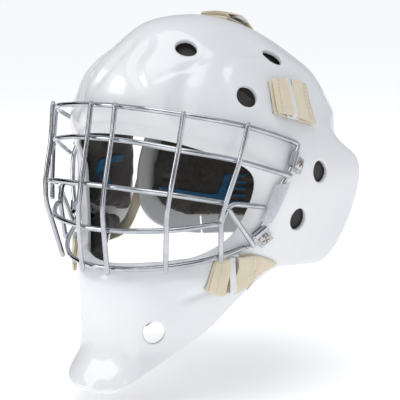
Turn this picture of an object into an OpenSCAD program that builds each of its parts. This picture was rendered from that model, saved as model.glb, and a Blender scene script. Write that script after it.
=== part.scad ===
// Goalie mask: a one-piece shell with a welded wire cage, foam liner, strapped back plate.
// The wearer looks along -Y, the wearer's left is +X and +Z is up. The origin lies on the
// mid-plane, between the cheeks at the level of the mouth opening's middle.

/* [Shell] */
// Wall thickness of the shell
shell_t = 4; // [3:0.5:4.5]
// Diameter of the round vents
vent_d = 19.5; // [16:0.5:21]
// Diameter of the cage screws' holes
screw_hole_d = 5.4; // [5.2:0.1:6]

/* [Cage] */
// Diameter of the cage wire
wire_d = 4; // [3.5:0.5:4.5]
// Height of the side wires' centre line above the shell
wire_lift = 3.6; // [3.5:0.1:4.5]
// Bend radius at the two top corners
corner_r = 7; // [5:1:9]
// Diameter of the cage screws' domed heads
screw_head_d = 9.5; // [8:0.5:13]
// Diameter of the cage screws' shanks
screw_d = 5; // [4:0.1:5]

/* [Liner] */
// Gap between the shell's inner face and the foam
foam_gap = 0.8; // [0.5:0.1:1.5]
// Thickness of the foam pads
foam_t = 12; // [9:1:14]

/* [Back plate] */
// Half width of the back plate
plate_a = 84; // [80:1:86]
// Distance of the back plate's rear face behind the skull centre
plate_b = 106; // [100:1:108]
// Wall thickness of the back plate
plate_t = 3; // [2.5:0.5:4]

/* [Straps] */
// Thickness of one layer of elastic
elastic_t = 1.6; // [1.2:0.1:2]
// Thickness of the slide buckles
buckle_t = 1.8; // [1.5:0.1:2]

/* [Hidden] */
e = 0.001;
wire_r = wire_d / 2;
half_turn = 13;

// Guide points of the shell's outer face. Each row starts at the edge of the face opening
// and ends at the shell's outer edge; rows run from the top centre round the left side
// to the chin centre, and the right side mirrors them.
STATIONS = [
  [[0,-106.5,66], [0,-111,80], [0,-110,100], [0,-100,119],
   [0,-80,134], [0,-46,151], [0,26,149], [0,98,116]],
  [[24,-103.5,65], [26,-107,79], [28,-105,98], [31,-93,117],
   [31,-70,131], [30,-34,147], [37,24,140], [40,94,110]],
  [[48,-93,61], [52,-94,75], [54,-89,93], [56,-75,111],
   [55,-54,124], [52,-20,134], [62,24,125], [69,82,88]],
  [[70,-75,52], [76,-74,64], [80,-68,80], [81,-54,98],
   [80,-34,109], [80,-4,114], [86,34,103], [87,68,71]],
  [[84.5,-56,41], [92,-53,50], [97,-45,59], [99,-34,68],
   [99,-18,73], [98,4,76], [98,32,72], [98,56,53]],
  [[86.5,-47.5,27], [97,-42,28], [105,-32,29], [107,-16,31],
   [109,0,33], [111,18,35], [114,36,37], [119,52,38]],
  [[82,-50.5,8], [93,-47,6], [99.5,-38,5], [102,-24,2],
   [105,-8,1], [108,11,0], [111,30,-1], [116,49,-2]],
  [[72,-61,-14], [81,-57,-18], [87,-47,-22], [92,-34,-26],
   [96,-20,-30], [99,-6,-34], [102,8,-38], [105,23,-41]],
  [[56,-79.5,-27], [64,-78,-32], [71,-70,-35], [76,-61,-38],
   [80,-52,-40], [84,-41,-41.5], [87,-28,-42], [90,-14,-41.5]],
  [[48,-89,-29], [56,-88,-36], [62,-84,-41], [66,-79,-46],
   [69,-73,-50], [72,-67,-54], [74,-59,-58], [75,-52,-62]],
  [[40,-98,-30], [47,-100,-38], [52,-97,-46], [56,-91,-54],
   [58,-86,-62], [59,-82,-70], [60,-78,-78], [59,-76,-87]],
  [[25,-110.5,-31], [29,-115,-40], [33,-115,-50], [37,-112,-61],
   [39,-109,-73], [40,-107,-85], [40,-106,-97], [41,-108,-107]],
  [[12,-117.5,-31.8], [14,-123,-42], [16,-124,-53], [18,-122,-66],
   [20,-121,-80], [22,-122,-95], [24,-127,-109], [26,-137,-121.5]],
  [[0,-120,-32], [0,-126,-43], [0,-127,-55], [0,-126,-69],
   [0,-125,-84], [0,-127,-99], [0,-132,-113], [0,-142,-127]]
];
last = len(STATIONS[0]) - 1;

// Vents on the left side, each at [row, place along the row]
VENTS = [[1.16, 4.07], [2.67, 5.18], [3.09, 2.95], [5.04, 4.54], [6.13, 3.86], [11.14, 4.75]];
// Cage screws on the left side, upper and lower
SCREWS = [[4.69, 2.94], [6.67, 1.92]];
// Lines across each strap on the shell, from its slot to its end: [one edge, other edge]
UPPER_STRAP = [[[3.21, 4.19], [3.73, 3.36]], [[3.34, 4.79], [3.94, 4.03]], [[3.39, 5.4], [4.19, 5.17]]];
JAW_STRAP = [[[7.78, 1.11], [9.44, 3.53]], [[7.41, 1.38], [9.04, 5.23]], [[7.2, 2.36], [8.61, 6.3]],
  [[7.33, 4.29], [8.8, 6.9]]];
TOP_STRAP = [[[-0.33, 5.9], [0.33, 5.9]], [[-0.31, 6.18], [0.31, 6.18]], [[-0.29, 6.46], [0.29, 6.46]]];

// ---- smooth curves and surfaces through the guide points ----

// Weight of a neighbour k steps away, for a cubic curve that passes through its points
function pull(k) = sqrt(3) * (sqrt(3) - 2) ^ abs(k);
// Point or row j of an open list, continued past its ends by turning it about them
function beyond(list, j) = let(n = len(list) - 1)
  j < 0 ? 2 * list[0] - list[min(-j, n)] : j > n ? 2 * list[n] - list[max(2 * n - j, 0)] : list[j];
function open_pull(list, j, k = -6) =
  k > 6 ? 0 * list[0] : pull(k) * beyond(list, j + k) + open_pull(list, j, k + 1);
function ring_pull(list, j, k = -6) = let(n = len(list))
  k > 6 ? 0 * list[0] : pull(k) * list[(j + k + n) % n] + ring_pull(list, j, k + 1);
function open_knots(list) = [for (j = [-1:len(list)]) open_pull(list, j)];
// The four weights of a cubic stretch at f, from 0 to 1
function weights(f) = [(1 - f) ^ 3, 3 * f ^ 3 - 6 * f ^ 2 + 4, -3 * f ^ 3 + 3 * f ^ 2 + 3 * f + 1, f ^ 3] / 6;
function four(list, i) = [list[i], list[i + 1], list[i + 2], list[i + 3]];
function on_curve(knots, s) = let(i = min(max(floor(s), 0), len(knots) - 4)) weights(s - i) * four(knots, i);
function curve(points, per) = let(k = open_knots(points), n = len(points) - 1)
  [for (i = [0:n * per]) on_curve(k, i / per)];

function unit(v) = v / norm(v);
function flip(p) = [-p[0], p[1], p[2]];
function flip_all(list) = [for (p = list) flip(p)];

ROWS = concat(STATIONS, [for (i = [half_turn - 1:-1:1]) flip_all(STATIONS[i])]);
turn = len(ROWS);
KNOTS = [for (i = [0:turn - 1]) open_knots(ring_pull(ROWS, i))];

// Point of the shell's outer face at row t and place s, and the face's outward normal there
function skin(t, s) = let(i = floor(t), j = min(max(floor(s), 0), last - 1))
  weights(t - i) * [for (a = [-1:2]) weights(s - j) * four(KNOTS[(i + a + 2 * turn) % turn], j)];
function outward(t, s) = let(
    along = skin(t + e, s) - skin(t - e, s),
    away = skin(t, min(s + e, last)) - skin(t, max(s - e, 0)))
  unit(cross(along, away));
// Point a height h above the shell's outer face, or below it when h is negative
function over(t, s, h) = skin(t, s) + h * outward(t, s);

// Closed solid between an upper and a lower grid of points, each [row][place]
module slab(upper, lower, ring = false) {
  n = len(upper);
  m = len(upper[0]);
  steps = ring ? n : n - 1;
  points = [for (r = upper) each r, for (r = lower) each r];
  function u(i, j) = (i % n) * m + j;
  function d(i, j) = n * m + (i % n) * m + j;
  faces = [
    for (i = [0:steps - 1], j = [0:m - 2]) each [
      [u(i, j), u(i, j + 1), u(i + 1, j + 1)], [u(i, j), u(i + 1, j + 1), u(i + 1, j)],
      [d(i, j), d(i + 1, j + 1), d(i, j + 1)], [d(i, j), d(i + 1, j), d(i + 1, j + 1)]],
    for (i = [0:steps - 1]) each [
      [u(i, 0), u(i + 1, 0), d(i + 1, 0)], [u(i, 0), d(i + 1, 0), d(i, 0)],
      [u(i, m - 1), d(i, m - 1), d(i + 1, m - 1)], [u(i, m - 1), d(i + 1, m - 1), u(i + 1, m - 1)]],
    if (!ring) for (j = [0:m - 2]) each [
      [u(0, j), d(0, j), d(0, j + 1)], [u(0, j), d(0, j + 1), u(0, j + 1)],
      [u(n - 1, j), u(n - 1, j + 1), d(n - 1, j + 1)], [u(n - 1, j), d(n - 1, j + 1), d(n - 1, j)]]
  ];
  polyhedron(points, faces);
}

// Round wire along a list of points, with flat ends
module wire(path, d = wire_d, sides = 8) {
  n = len(path);
  function ahead(i) = unit(path[min(i + 1, n - 1)] - path[max(i - 1, 0)]);
  function square(v, t) = unit(v - (v * t) * t);
  start = square(abs(ahead(0)[2]) > 0.8 ? [0, 1, 0] : [0, 0, 1], ahead(0));
  frames = [for (i = 0, v = start; i < n; i = i + 1, v = square(v, ahead(min(i, n - 1)))) v];
  rings = [for (i = [0:n - 1]) let(v = frames[i], w = cross(ahead(i), v))
    [for (k = [0:sides - 1]) path[i] + d / 2 * (cos(360 * k / sides) * v + sin(360 * k / sides) * w)]];
  points = [for (r = rings) each r];
  faces = [
    [for (k = [0:sides - 1]) k],
    for (i = [0:n - 2], k = [0:sides - 1]) let(a = i * sides + k, b = i * sides + (k + 1) % sides) each [
      [a, a + sides, b], [b, a + sides, b + sides]],
    [for (k = [sides - 1:-1:0]) (n - 1) * sides + k]
  ];
  polyhedron(points, faces);
}

// Polyline with each inner corner rounded by r, or by less where its legs are short
function rounded(path, r, per = 3) = let(n = len(path) - 1) [
  path[0],
  for (i = [1:n - 1]) let(
      a = path[i - 1] - path[i], b = path[i + 1] - path[i],
      ra = min(r, norm(a) * 0.45), rb = min(r, norm(b) * 0.45),
      from = path[i] + unit(a) * ra, to = path[i] + unit(b) * rb)
    each [for (k = [0:per]) let(f = k / per) (1 - f) ^ 2 * from + 2 * f * (1 - f) * path[i] + f ^ 2 * to],
  path[n]
];

// Places the children with +Z along the normal n and +X as near as possible to x
module seat(p, n, x) {
  w = unit(cross(n, x));
  v = cross(w, n);
  multmatrix([[v[0], w[0], n[0], p[0]], [v[1], w[1], n[1], p[1]], [v[2], w[2], n[2], p[2]], [0, 0, 0, 1]])
    children();
}
module on_skin(at, h, x) seat(over(at[0], at[1], h), outward(at[0], at[1]), x) children();
module both_sides() {
  children();
  mirror([1, 0, 0]) children();
}
module on_side(side) mirror([side == "right" ? 1 : 0, 0, 0]) children();

// ---- shell ----

module shell() color("white") difference() {
  slab(
    [for (i = [0:turn * 2 - 1]) [for (j = [0:last * 2]) skin(i / 2, j / 2)]],
    [for (i = [0:turn * 2 - 1]) [for (j = [0:last * 2]) over(i / 2, j / 2, -shell_t)]],
    ring = true);
  both_sides() {
    for (v = VENTS) on_skin(v, -9, [0, 0, 1]) cylinder(h = 14, d = vent_d, $fn = 48);
    for (v = SCREWS) on_skin(v, -8, [0, 0, 1]) cylinder(h = 12, d = screw_hole_d, $fn = 32);
    strap_slot(UPPER_STRAP);
    strap_slot(JAW_STRAP);
  }
  strap_slot(TOP_STRAP);
}
// Narrow slot that a strap comes out of, along the strap's first line
module strap_slot(strap) {
  a = skin(strap[0][0][0], strap[0][0][1]);
  b = skin(strap[0][1][0], strap[0][1][1]);
  long = norm(b - a) + 2;
  on_skin((strap[0][0] + strap[0][1]) / 2, -8, b - a) translate([-long / 2, -1.5, 0]) cube([long, 3, 12]);
}

// ---- foam liner ----

// Foam patch under the shell, from row t0 to t1 and place s0 to s1
module foam(t0, t1, s0, s1, t_steps = 8, s_steps = 8, top = 0, thick = foam_t) {
  near = shell_t + foam_gap + top;
  t_at = [for (i = [0:t_steps]) t0 + (t1 - t0) * i / t_steps];
  s_at = [for (j = [0:s_steps]) s0 + (s1 - s0) * j / s_steps];
  slab(
    [for (t = t_at) [for (s = s_at) over(t, s, -near)]],
    [for (t = t_at) [for (s = s_at) over(t, s, -near - thick)]]);
}
// Room for the nuts and the screw ends that stand out of the shell's inner face
module nut_pockets() {
  for (v = SCREWS) on_skin(v, -shell_t - 8, [0, 0, 1]) cylinder(h = 10, d = 17, $fn = 32);
}
module forehead_pad() color("dimgray") foam(-3.4, 3.4, 0.25, 3.3, 14, 6, thick = 10);
module crown_pad() color("dimgray") foam(-2.9, 2.9, 3.6, 6.2, 12, 8, top = 3.8, thick = 11);
module chin_cup() color("dimgray") foam(turn - 15.85, turn - 10.15, 1.2, 4.4, 12, 6);
module temple_pad() color("dimgray") difference() {
  foam(4.1, 6.52, 1.2, 5.9, 8, 8);
  nut_pockets();
}
module jaw_pad() color("dimgray") difference() {
  foam(6.66, 9.85, 0.3, 5, 10, 8, thick = 13);
  nut_pockets();
}
module temple_trim() color("steelblue")
  foam(5, 6.1, 2.2, 4.6, 4, 6, top = foam_t + 0.3, thick = 1.2);

// ---- cage ----

// Left half of each cross wire, from the mid-plane outwards
BROW_RIM = [[0,-119.5,89], [33,-115,87.5], [62,-104,84], [81,-87,79.5], [92.5,-69,74.5], [101.5,-45,66.5]];
BROW = [[0,-124.5,64.5], [32,-120,63], [60,-109,58.5], [78,-92,54], [90,-74,49]];
EYES = [[0,-133,30], [32,-129,29], [58.5,-118,26.5], [73,-102,22.5], [83,-84,18]];
MOUTH = [[0,-135.5,-3], [32,-130,-2], [55,-117.5,-1], [70,-101.5,0.5], [80,-87.5,2]];
LOWER = [[0,-131.5,-33.5], [28,-125,-33], [49,-110.5,-31], [64,-95,-28.5], [76,-77.5,-25]];
// Side wires on the shell: corner, then down to the lower screw
SIDE = [[4.36, 3.5], [4.43, 3.18], [4.65, 2.38], [4.8, 1.92], [5.03, 1.6], [5.4, 1.45], [5.8, 1.44], [6.2, 1.4], [6.57, 1.3], [6.96, 1.42]];

function mirrored(half) = concat([for (i = [len(half) - 1:-1:1]) flip(half[i])], half);
side_run = [for (v = SIDE) over(v[0], v[1], wire_lift)];
hook_joint = [84, -76.5, 16.5];
hook_knee = [80.5, -84, 4.5];

module cage_rim_wire() color("silver")
  wire(rounded(mirrored(concat(BROW_RIM, side_run)), corner_r, 2));
// The brow wire ends outside the side wires
brow_end = over(4.82, 2.0, wire_lift + wire_d);
module cage_brow_wire() color("silver") wire(rounded(mirrored(concat(BROW, [brow_end])), 10, 2));
module cage_eye_wire() color("silver") wire(curve(mirrored(EYES), 3));
module cage_mouth_wire() color("silver") wire(curve(mirrored(MOUTH), 3));
lower_end = over(7.02, 1.2, wire_lift);
module cage_lower_wire() color("silver") wire(rounded(mirrored(concat(LOWER, [lower_end])), 12, 2));

// Upright bars on the left side, from the middle outwards; they lie against the cross wires
BARS = [
  [[11.8,-123,90.5], [11.8,-128,64.5], [11.6,-136.5,30], [11.8,-139.6,12], [12.4,-138.8,-3], [12.2,-135,-37]],
  [[63.9,-108.1,86], [62.3,-112.8,59], [61.2,-121.8,27], [59.5,-123.6,10.5], [57.4,-121,-1], [51,-114,-34.5]],
  [[95.3,-70.4,76.3], [92.6,-77.4,49], [86.4,-86.7,18], [83.6,-89.6,5]]
];
module cage_bar(n) color("silver") wire(rounded(BARS[n], 7, 3));
module cage_hook() color("silver") wire(rounded([
  over(5.8, 0.97, wire_lift), hook_joint, hook_knee, [78, -80.5, -28.5]], 6, 4));
module cage_brace() color("silver") wire([hook_joint + [0, -3, -3.5], over(6.9, 1.47, wire_lift + wire_d)]);

// Strap of steel that wraps the side wire and goes under a screw head
clip_w = 12;
clip_t = 1.2;
CLIP_WIRE = [[4.55, 2.65], [6.5, 1.3]];
module cage_clip(i) {
  at = SCREWS[i];
  p = over(at[0], at[1], 0);
  n = outward(at[0], at[1]);
  near = over(CLIP_WIRE[i][0], CLIP_WIRE[i][1], wire_lift);
  reach = norm(near - p - ((near - p) * n) * n);
  seat(p, n, near - p) difference() {
    union() {
      translate([-6, -clip_w / 2, wire_lift - 2.4]) cube([reach + 3, clip_w, clip_t]);
      translate([reach, clip_w / 2, wire_lift]) rotate([90, 0, 0]) cylinder(h = clip_w, r = wire_r + 1.3, $fn = 32);
    }
    translate([reach, clip_w / 2 + 1, wire_lift]) rotate([90, 0, 0]) cylinder(h = clip_w + 2, r = wire_r + 0.1, $fn = 32);
    translate([0, 0, -2]) cylinder(h = 6, d = screw_hole_d, $fn = 32);
  }
}
module cage_clips() color("silver") both_sides() for (i = [0, 1]) cage_clip(i);

clip_top = wire_lift - 2.4 + clip_t;
head_h = 3.6;
module cage_screws() color("silver") both_sides() for (v = SCREWS) on_skin(v, 0, [0, 0, 1]) {
  difference() {
    translate([0, 0, clip_top]) intersection() {
      cylinder(h = head_h, d = screw_head_d, $fn = 48);
      translate([0, 0, head_h - 7]) sphere(r = 7, $fn = 48);
    }
    for (a = [0, 90]) rotate(a) translate([-2.5, -0.6, clip_top + 2]) cube([5, 1.2, 3]);
  }
  translate([0, 0, -shell_t - 6]) cylinder(h = shell_t + 6 + clip_top, d = screw_d, $fn = 32);
}
module cage_nuts() color("gray") both_sides() for (v = SCREWS) on_skin(v, -shell_t - 3.2, [0, 0, 1]) difference() {
  union() {
    cylinder(h = 1.2, d = 14, $fn = 48);
    translate([0, 0, -2]) cylinder(h = 2.5, d = 8, $fn = 6);
  }
  translate([0, 0, -3]) cylinder(h = 6, d = screw_d + 0.1, $fn = 32);
}
// Plain sticker folded round the left side wire
LABEL = [[4.98, 1.66], [5.2, 1.51], [5.5, 1.44], [5.85, 1.44], [6.2, 1.4]];
module cage_label() color("lightgray") slab(
  [for (k = [-1, 1]) [for (v = LABEL) over(v[0], v[1] + 0.38 * k, wire_lift + wire_r + 2)]],
  [for (k = [-1, 1]) [for (v = LABEL) over(v[0], v[1] + 0.38 * k, wire_lift + wire_r + 1.2)]]);

// ---- straps and buckles ----

// Place on a strap: f of the way from its slot to its end, g of the way across
function between(strap, f, g) = let(x = f * (len(strap) - 1), i = min(max(floor(x), 0), len(strap) - 2), k = x - i)
  (1 - k) * ((1 - g) * strap[i][0] + g * strap[i][1]) + k * ((1 - g) * strap[i + 1][0] + g * strap[i + 1][1]);
// Elastic lying on the shell, from f0 to f1 of the strap's length
module elastic(strap, h, f0 = 0, f1 = 1) {
  along = [for (i = [0:8]) f0 + (f1 - f0) * i / 8];
  across = [0, 0.25, 0.5, 0.75, 1];
  slab(
    [for (g = across) [for (f = along) let(q = between(strap, f, g)) over(q[0], q[1], h + elastic_t)]],
    [for (g = across) [for (f = along) let(q = between(strap, f, g)) over(q[0], q[1], h)]]);
}
strap_h = 0.6;
buckle_h = strap_h + elastic_t + 1.5;
tail_h = buckle_h + buckle_t + 2.4;
// Strap: the lower layer on the shell, and the tail that folds back over the buckle
module strap(strap, bar, tail) color("wheat") {
  elastic(strap, strap_h);
  elastic(strap, tail_h, 0.02, bar - 0.06);
  elastic(strap, tail_h, bar + 0.06, tail);
}
// Ladder slide buckle: a flat frame with a centre bar that shows between the tail's two parts
module buckle(strap, bar, w) color("white") {
  q = between(strap, bar, 0.5);
  ahead = between(strap, bar + 0.05, 0.5);
  on_skin(q, buckle_h, skin(ahead[0], ahead[1]) - skin(q[0], q[1])) difference() {
    union() {
      translate([-8, -w / 2 - 2.5, 0]) cube([16, w + 5, buckle_t]);
      translate([-1.5, -w / 2 - 2.5, buckle_t / 2]) cube([3, w + 5, buckle_t]);
    }
    for (x = [-5.5, 1.5]) translate([x, -w / 2 - 0.5, -1]) cube([4, w + 1, buckle_t + 3]);
  }
}
upper_bar = 0.5;
jaw_bar = 0.33;
top_bar = 0.5;
module upper_strap() strap(UPPER_STRAP, upper_bar, 1);
module jaw_strap() strap(JAW_STRAP, jaw_bar, 0.68);
module top_strap() strap(TOP_STRAP, top_bar, 0.9);

// ---- back plate ----

skull = [0, 14, 50];
plate_top = 92;
plate_taper = 0.14;
// Point of the back plate at bearing b from the rear and height z, g outside its outer face
function on_plate(b, z, g = 0) = let(
    up = (z - skull[2]) / (plate_top + g),
    down = (skull[2] - z) / 96,
    r = z > skull[2] ? sqrt(max(0, 1 - up ^ 2)) : 1 - plate_taper * down ^ 2)
  [(plate_a + g) * r * sin(b), skull[1] + (plate_b + g) * r * cos(b), z];
function plate_normal(b, z) = unit(cross(
  on_plate(b, z + e) - on_plate(b, z - e), on_plate(b + e, z) - on_plate(b - e, z)));
// Height of each row of the back plate, and the bearing of its two ends
PLATE = [[-46,46], [-43,60], [-36,74], [-24,84], [-5,88], [20,86], [45,80], [70,72], [92,60], [110,48]];
PAD = [[-32,44], [-29,60], [-20,74], [-5,82], [20,80], [45,74], [70,64], [88,52], [100,40]];
TRIM = [[-9,42], [-3,42]];
// Panel between depths g0 and g1 under the back plate's outer face
module panel(rows, g0, g1, steps = 16) {
  upper = [for (i = [0:steps]) [for (r = rows) let(b = r[1] * (1 - 2 * i / steps)) on_plate(b, r[0], g0)]];
  lower = [for (i = [0:steps]) [for (r = rows) let(b = r[1] * (1 - 2 * i / steps)) on_plate(b, r[0], g1)]];
  slab(upper, lower);
}
RIVETS = [[0, 104], [58, 82], [-58, 82], [63, -8], [-63, -8]];
module at_rivet(v, g) {
  n = plate_normal(v[0], v[1]);
  seat(on_plate(v[0], v[1]) + g * n, n, [0, 0, 1]) children();
}
module back_plate() color("white") difference() {
  panel(PLATE, 0, -plate_t);
  for (v = RIVETS) at_rivet(v, -8) cylinder(h = 14, d = 4.4, $fn = 32);
  // Slots through which the light shows under the pad
  for (b = [48, -48]) at_rivet([b, -39], -8) translate([-1.5, -9, 0]) cube([3, 18, 14]);
}
module back_pad() color("black") panel(PAD, -plate_t - 3.8, -plate_t - 13);
module back_trim() color("steelblue") panel(TRIM, -plate_t - 13.8, -plate_t - 15, 14);
module plate_rivets() color("silver") for (v = RIVETS) at_rivet(v, 0) {
  translate([0, 0, 2.4]) cylinder(h = 1.4, d = 9, $fn = 32);
  translate([0, 0, -plate_t - 1.6]) cylinder(h = plate_t + 4.2, d = 4, $fn = 32);
  translate([0, 0, -plate_t - 2.8]) cylinder(h = 1.2, d = 9, $fn = 32);
}

// Elastic between two guide lines, from the shell to the back plate
run_t = 1.2;
module run(one, other) {
  a = curve(one, 3);
  b = curve(other, 3);
  n = len(a) - 1;
  function face(i) = unit(cross(a[min(i + 1, n)] - a[max(i - 1, 0)], b[i] - a[i]));
  color("wheat") slab(
    [for (i = [0:n]) [b[i] + run_t / 2 * face(i), a[i] + run_t / 2 * face(i)]],
    [for (i = [0:n]) [b[i] - run_t / 2 * face(i), a[i] - run_t / 2 * face(i)]]);
}
run_g = 1.6;
under = -shell_t - 2.4;
module top_run() run(
  [over(-0.32, 6, under), over(-0.3, 6.5, under), [-12.5, 82, 114.5], [-12.5, 93, 111.6],
   [-12.5, 99.5, 108.8], on_plate(-9, 104, 4), on_plate(-8, 94, 3)],
  [over(0.32, 6, under), over(0.3, 6.5, under), [12.5, 82, 114.5], [12.5, 93, 111.6],
   [12.5, 99.5, 108.8], on_plate(9, 104, 4), on_plate(8, 94, 3)]);
module upper_run() run(
  [over(3.36, 4.8, under), over(3.24, 5.6, under - 1), over(3.26, 6.4, under - 3),
   on_plate(70, 92, 4.5), on_plate(60, 93, 3), on_plate(52, 93, 2.4)],
  [over(3.8, 4.3, under), over(3.8, 5.2, under - 1), over(3.86, 6, under - 3),
   on_plate(76, 70, 4.5), on_plate(64, 70, 2.4), on_plate(54, 70, run_g)]);
module jaw_run() run(
  [over(7.45, 6.2, under - 3), [89, 15, -20], on_plate(84, 12, 3), on_plate(72, 8, 2),
   on_plate(58, 0, run_g)],
  [over(8.2, 6.6, under - 3), [83, 10, -34], on_plate(82, -10, 3), on_plate(72, -14, 2),
   on_plate(58, -22, run_g)]);

// ---- what is drawn ----

shell();
forehead_pad();
crown_pad();
chin_cup();
on_side("left") temple_pad();  // temple_pad_left
on_side("right") temple_pad();  // temple_pad_right
on_side("left") jaw_pad();  // jaw_pad_left
on_side("right") jaw_pad();  // jaw_pad_right
on_side("left") temple_trim();  // temple_trim_left
on_side("right") temple_trim();  // temple_trim_right
cage_rim_wire();
cage_brow_wire();
cage_eye_wire();
cage_mouth_wire();
cage_lower_wire();
on_side("right") cage_bar(2);  // cage_bar_1
on_side("right") cage_bar(1);  // cage_bar_2
on_side("right") cage_bar(0);  // cage_bar_3
on_side("left") cage_bar(0);  // cage_bar_4
on_side("left") cage_bar(1);  // cage_bar_5
on_side("left") cage_bar(2);  // cage_bar_6
on_side("left") cage_hook();  // cage_hook_left
on_side("right") cage_hook();  // cage_hook_right
on_side("left") cage_brace();  // cage_brace_left
on_side("right") cage_brace();  // cage_brace_right
cage_clips();
cage_screws();
cage_nuts();
cage_label();
top_strap();
on_side("left") upper_strap();  // upper_strap_left
on_side("right") upper_strap();  // upper_strap_right
on_side("left") jaw_strap();  // jaw_strap_left
on_side("right") jaw_strap();  // jaw_strap_right
buckle(TOP_STRAP, top_bar, 25);  // top_buckle
on_side("left") buckle(UPPER_STRAP, upper_bar, 28);  // upper_buckle_left
on_side("right") buckle(UPPER_STRAP, upper_bar, 28);  // upper_buckle_right
on_side("left") buckle(JAW_STRAP, jaw_bar, 25);  // jaw_buckle_left
on_side("right") buckle(JAW_STRAP, jaw_bar, 25);  // jaw_buckle_right
top_run();
on_side("left") upper_run();  // upper_run_left
on_side("right") upper_run();  // upper_run_right
on_side("left") jaw_run();  // jaw_run_left
on_side("right") jaw_run();  // jaw_run_right
back_plate();
back_pad();
back_trim();
plate_rivets();
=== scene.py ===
# %% [markdown]
# # A goalie mask, piece by piece
# The real mask is a glossy laminate shell with a welded wire cage screwed to it, foam pads
# inside, and a back guard that hangs on elastic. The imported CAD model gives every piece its
# place and its motion, so this lesson only has to make each piece look like what it is.
# Everything is in metres, in the CAD frame: the wearer looks along -Y, +X is the wearer's
# left, +Z is up.

# %% The frame
import math

import bmesh
import bpy
import numpy as np
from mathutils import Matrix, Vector
from mathutils.bvhtree import BVHTree
from mathutils.kdtree import KDTree


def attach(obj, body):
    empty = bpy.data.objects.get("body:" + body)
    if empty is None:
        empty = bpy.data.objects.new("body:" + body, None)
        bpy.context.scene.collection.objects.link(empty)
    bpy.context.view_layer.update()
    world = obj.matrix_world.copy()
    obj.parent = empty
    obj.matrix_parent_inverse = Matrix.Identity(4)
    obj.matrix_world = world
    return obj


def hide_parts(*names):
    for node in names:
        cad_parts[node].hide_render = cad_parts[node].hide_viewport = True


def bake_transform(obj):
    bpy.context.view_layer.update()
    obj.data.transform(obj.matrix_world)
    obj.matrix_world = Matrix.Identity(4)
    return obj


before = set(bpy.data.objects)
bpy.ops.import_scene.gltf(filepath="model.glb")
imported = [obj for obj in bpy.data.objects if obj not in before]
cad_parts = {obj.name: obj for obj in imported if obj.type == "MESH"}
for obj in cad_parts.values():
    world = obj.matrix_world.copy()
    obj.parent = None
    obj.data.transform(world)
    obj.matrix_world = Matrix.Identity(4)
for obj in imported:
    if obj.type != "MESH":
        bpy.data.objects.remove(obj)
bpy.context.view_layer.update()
MM = 0.001
SHELL = "mask_shell"
GUARD = "back_guard"

# %% [markdown]
# ## The camera
# A product shot of a helmet is taken from a few metres with a long lens, a little above
# eye height. Azimuth and elevation place the camera, and a long lens keeps the chin and
# the crown in proportion. The camera comes first.

# %% Camera
VIEW_AZIMUTH = math.radians(36)
VIEW_ELEVATION = math.radians(9.8)
VIEW_DISTANCE = 1.1
towards_camera = Vector((math.sin(VIEW_AZIMUTH) * math.cos(VIEW_ELEVATION),
                         -math.cos(VIEW_AZIMUTH) * math.cos(VIEW_ELEVATION),
                         math.sin(VIEW_ELEVATION)))
lens = bpy.data.cameras.new("camera")
lens.lens = 118.8
lens.sensor_width = 36
camera = bpy.data.objects.new("camera", lens)
bpy.context.scene.collection.objects.link(camera)
camera.location = towards_camera * VIEW_DISTANCE
camera.rotation_euler = towards_camera.to_track_quat("Z", "Y").to_euler()
bpy.context.scene.camera = camera
print("camera at", [round(c, 3) for c in camera.location])

# %% [markdown]
# ## Writing shaders as sums
# A node tree is easier to read as a formula. This class wraps one socket, so that
# `0.3 + 0.1 * grain` adds the Math nodes it needs, and `node` makes any other node.

# %% Sockets as numbers
class Value:
    """One socket of a node tree, which can be added, multiplied and compared like a number."""

    def __init__(self, tree, socket):
        self.tree, self.socket = tree, socket

    def node(self, kind, *inputs, out=0, stops=None, **settings):
        """A new node of that kind, with its settings made first and then its inputs."""
        made = self.tree.nodes.new(kind)
        for name, setting in settings.items():
            setattr(made, name, setting)
        if stops:
            ramp = made.color_ramp.elements
            while len(ramp) < len(stops):
                ramp.new(0.5)
            for element, (place, colour) in zip(ramp, stops):
                element.position, element.color = place, (*colour, 1)
        for name, given in inputs:
            self.put(made.inputs[name], given)
        return Value(self.tree, made.outputs[out])

    def put(self, socket, given):
        if isinstance(given, Value):
            self.tree.links.new(given.socket, socket)
        else:
            socket.default_value = given

    def maths(self, operation, *values):
        return self.node("ShaderNodeMath", *enumerate(values), operation=operation)

    def __add__(self, other): return self.maths("ADD", self, other)
    def __radd__(self, other): return self.maths("ADD", other, self)
    def __sub__(self, other): return self.maths("SUBTRACT", self, other)
    def __rsub__(self, other): return self.maths("SUBTRACT", other, self)
    def __mul__(self, other): return self.maths("MULTIPLY", self, other)
    def __rmul__(self, other): return self.maths("MULTIPLY", other, self)
    def __truediv__(self, other): return self.maths("DIVIDE", self, other)
    def __pow__(self, other): return self.maths("POWER", self, other)
    def __gt__(self, other): return self.maths("GREATER_THAN", self, other)
    def __lt__(self, other): return self.maths("LESS_THAN", self, other)
    def sine(self): return self.maths("SINE", self)
    def size(self): return self.maths("ABSOLUTE", self)
    def smooth(self, low, high, to_low=0.0, to_high=1.0):
        return self.node("ShaderNodeMapRange", (0, self), (1, low), (2, high), (3, to_low), (4, to_high),
                         interpolation_type="SMOOTHSTEP")


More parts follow.
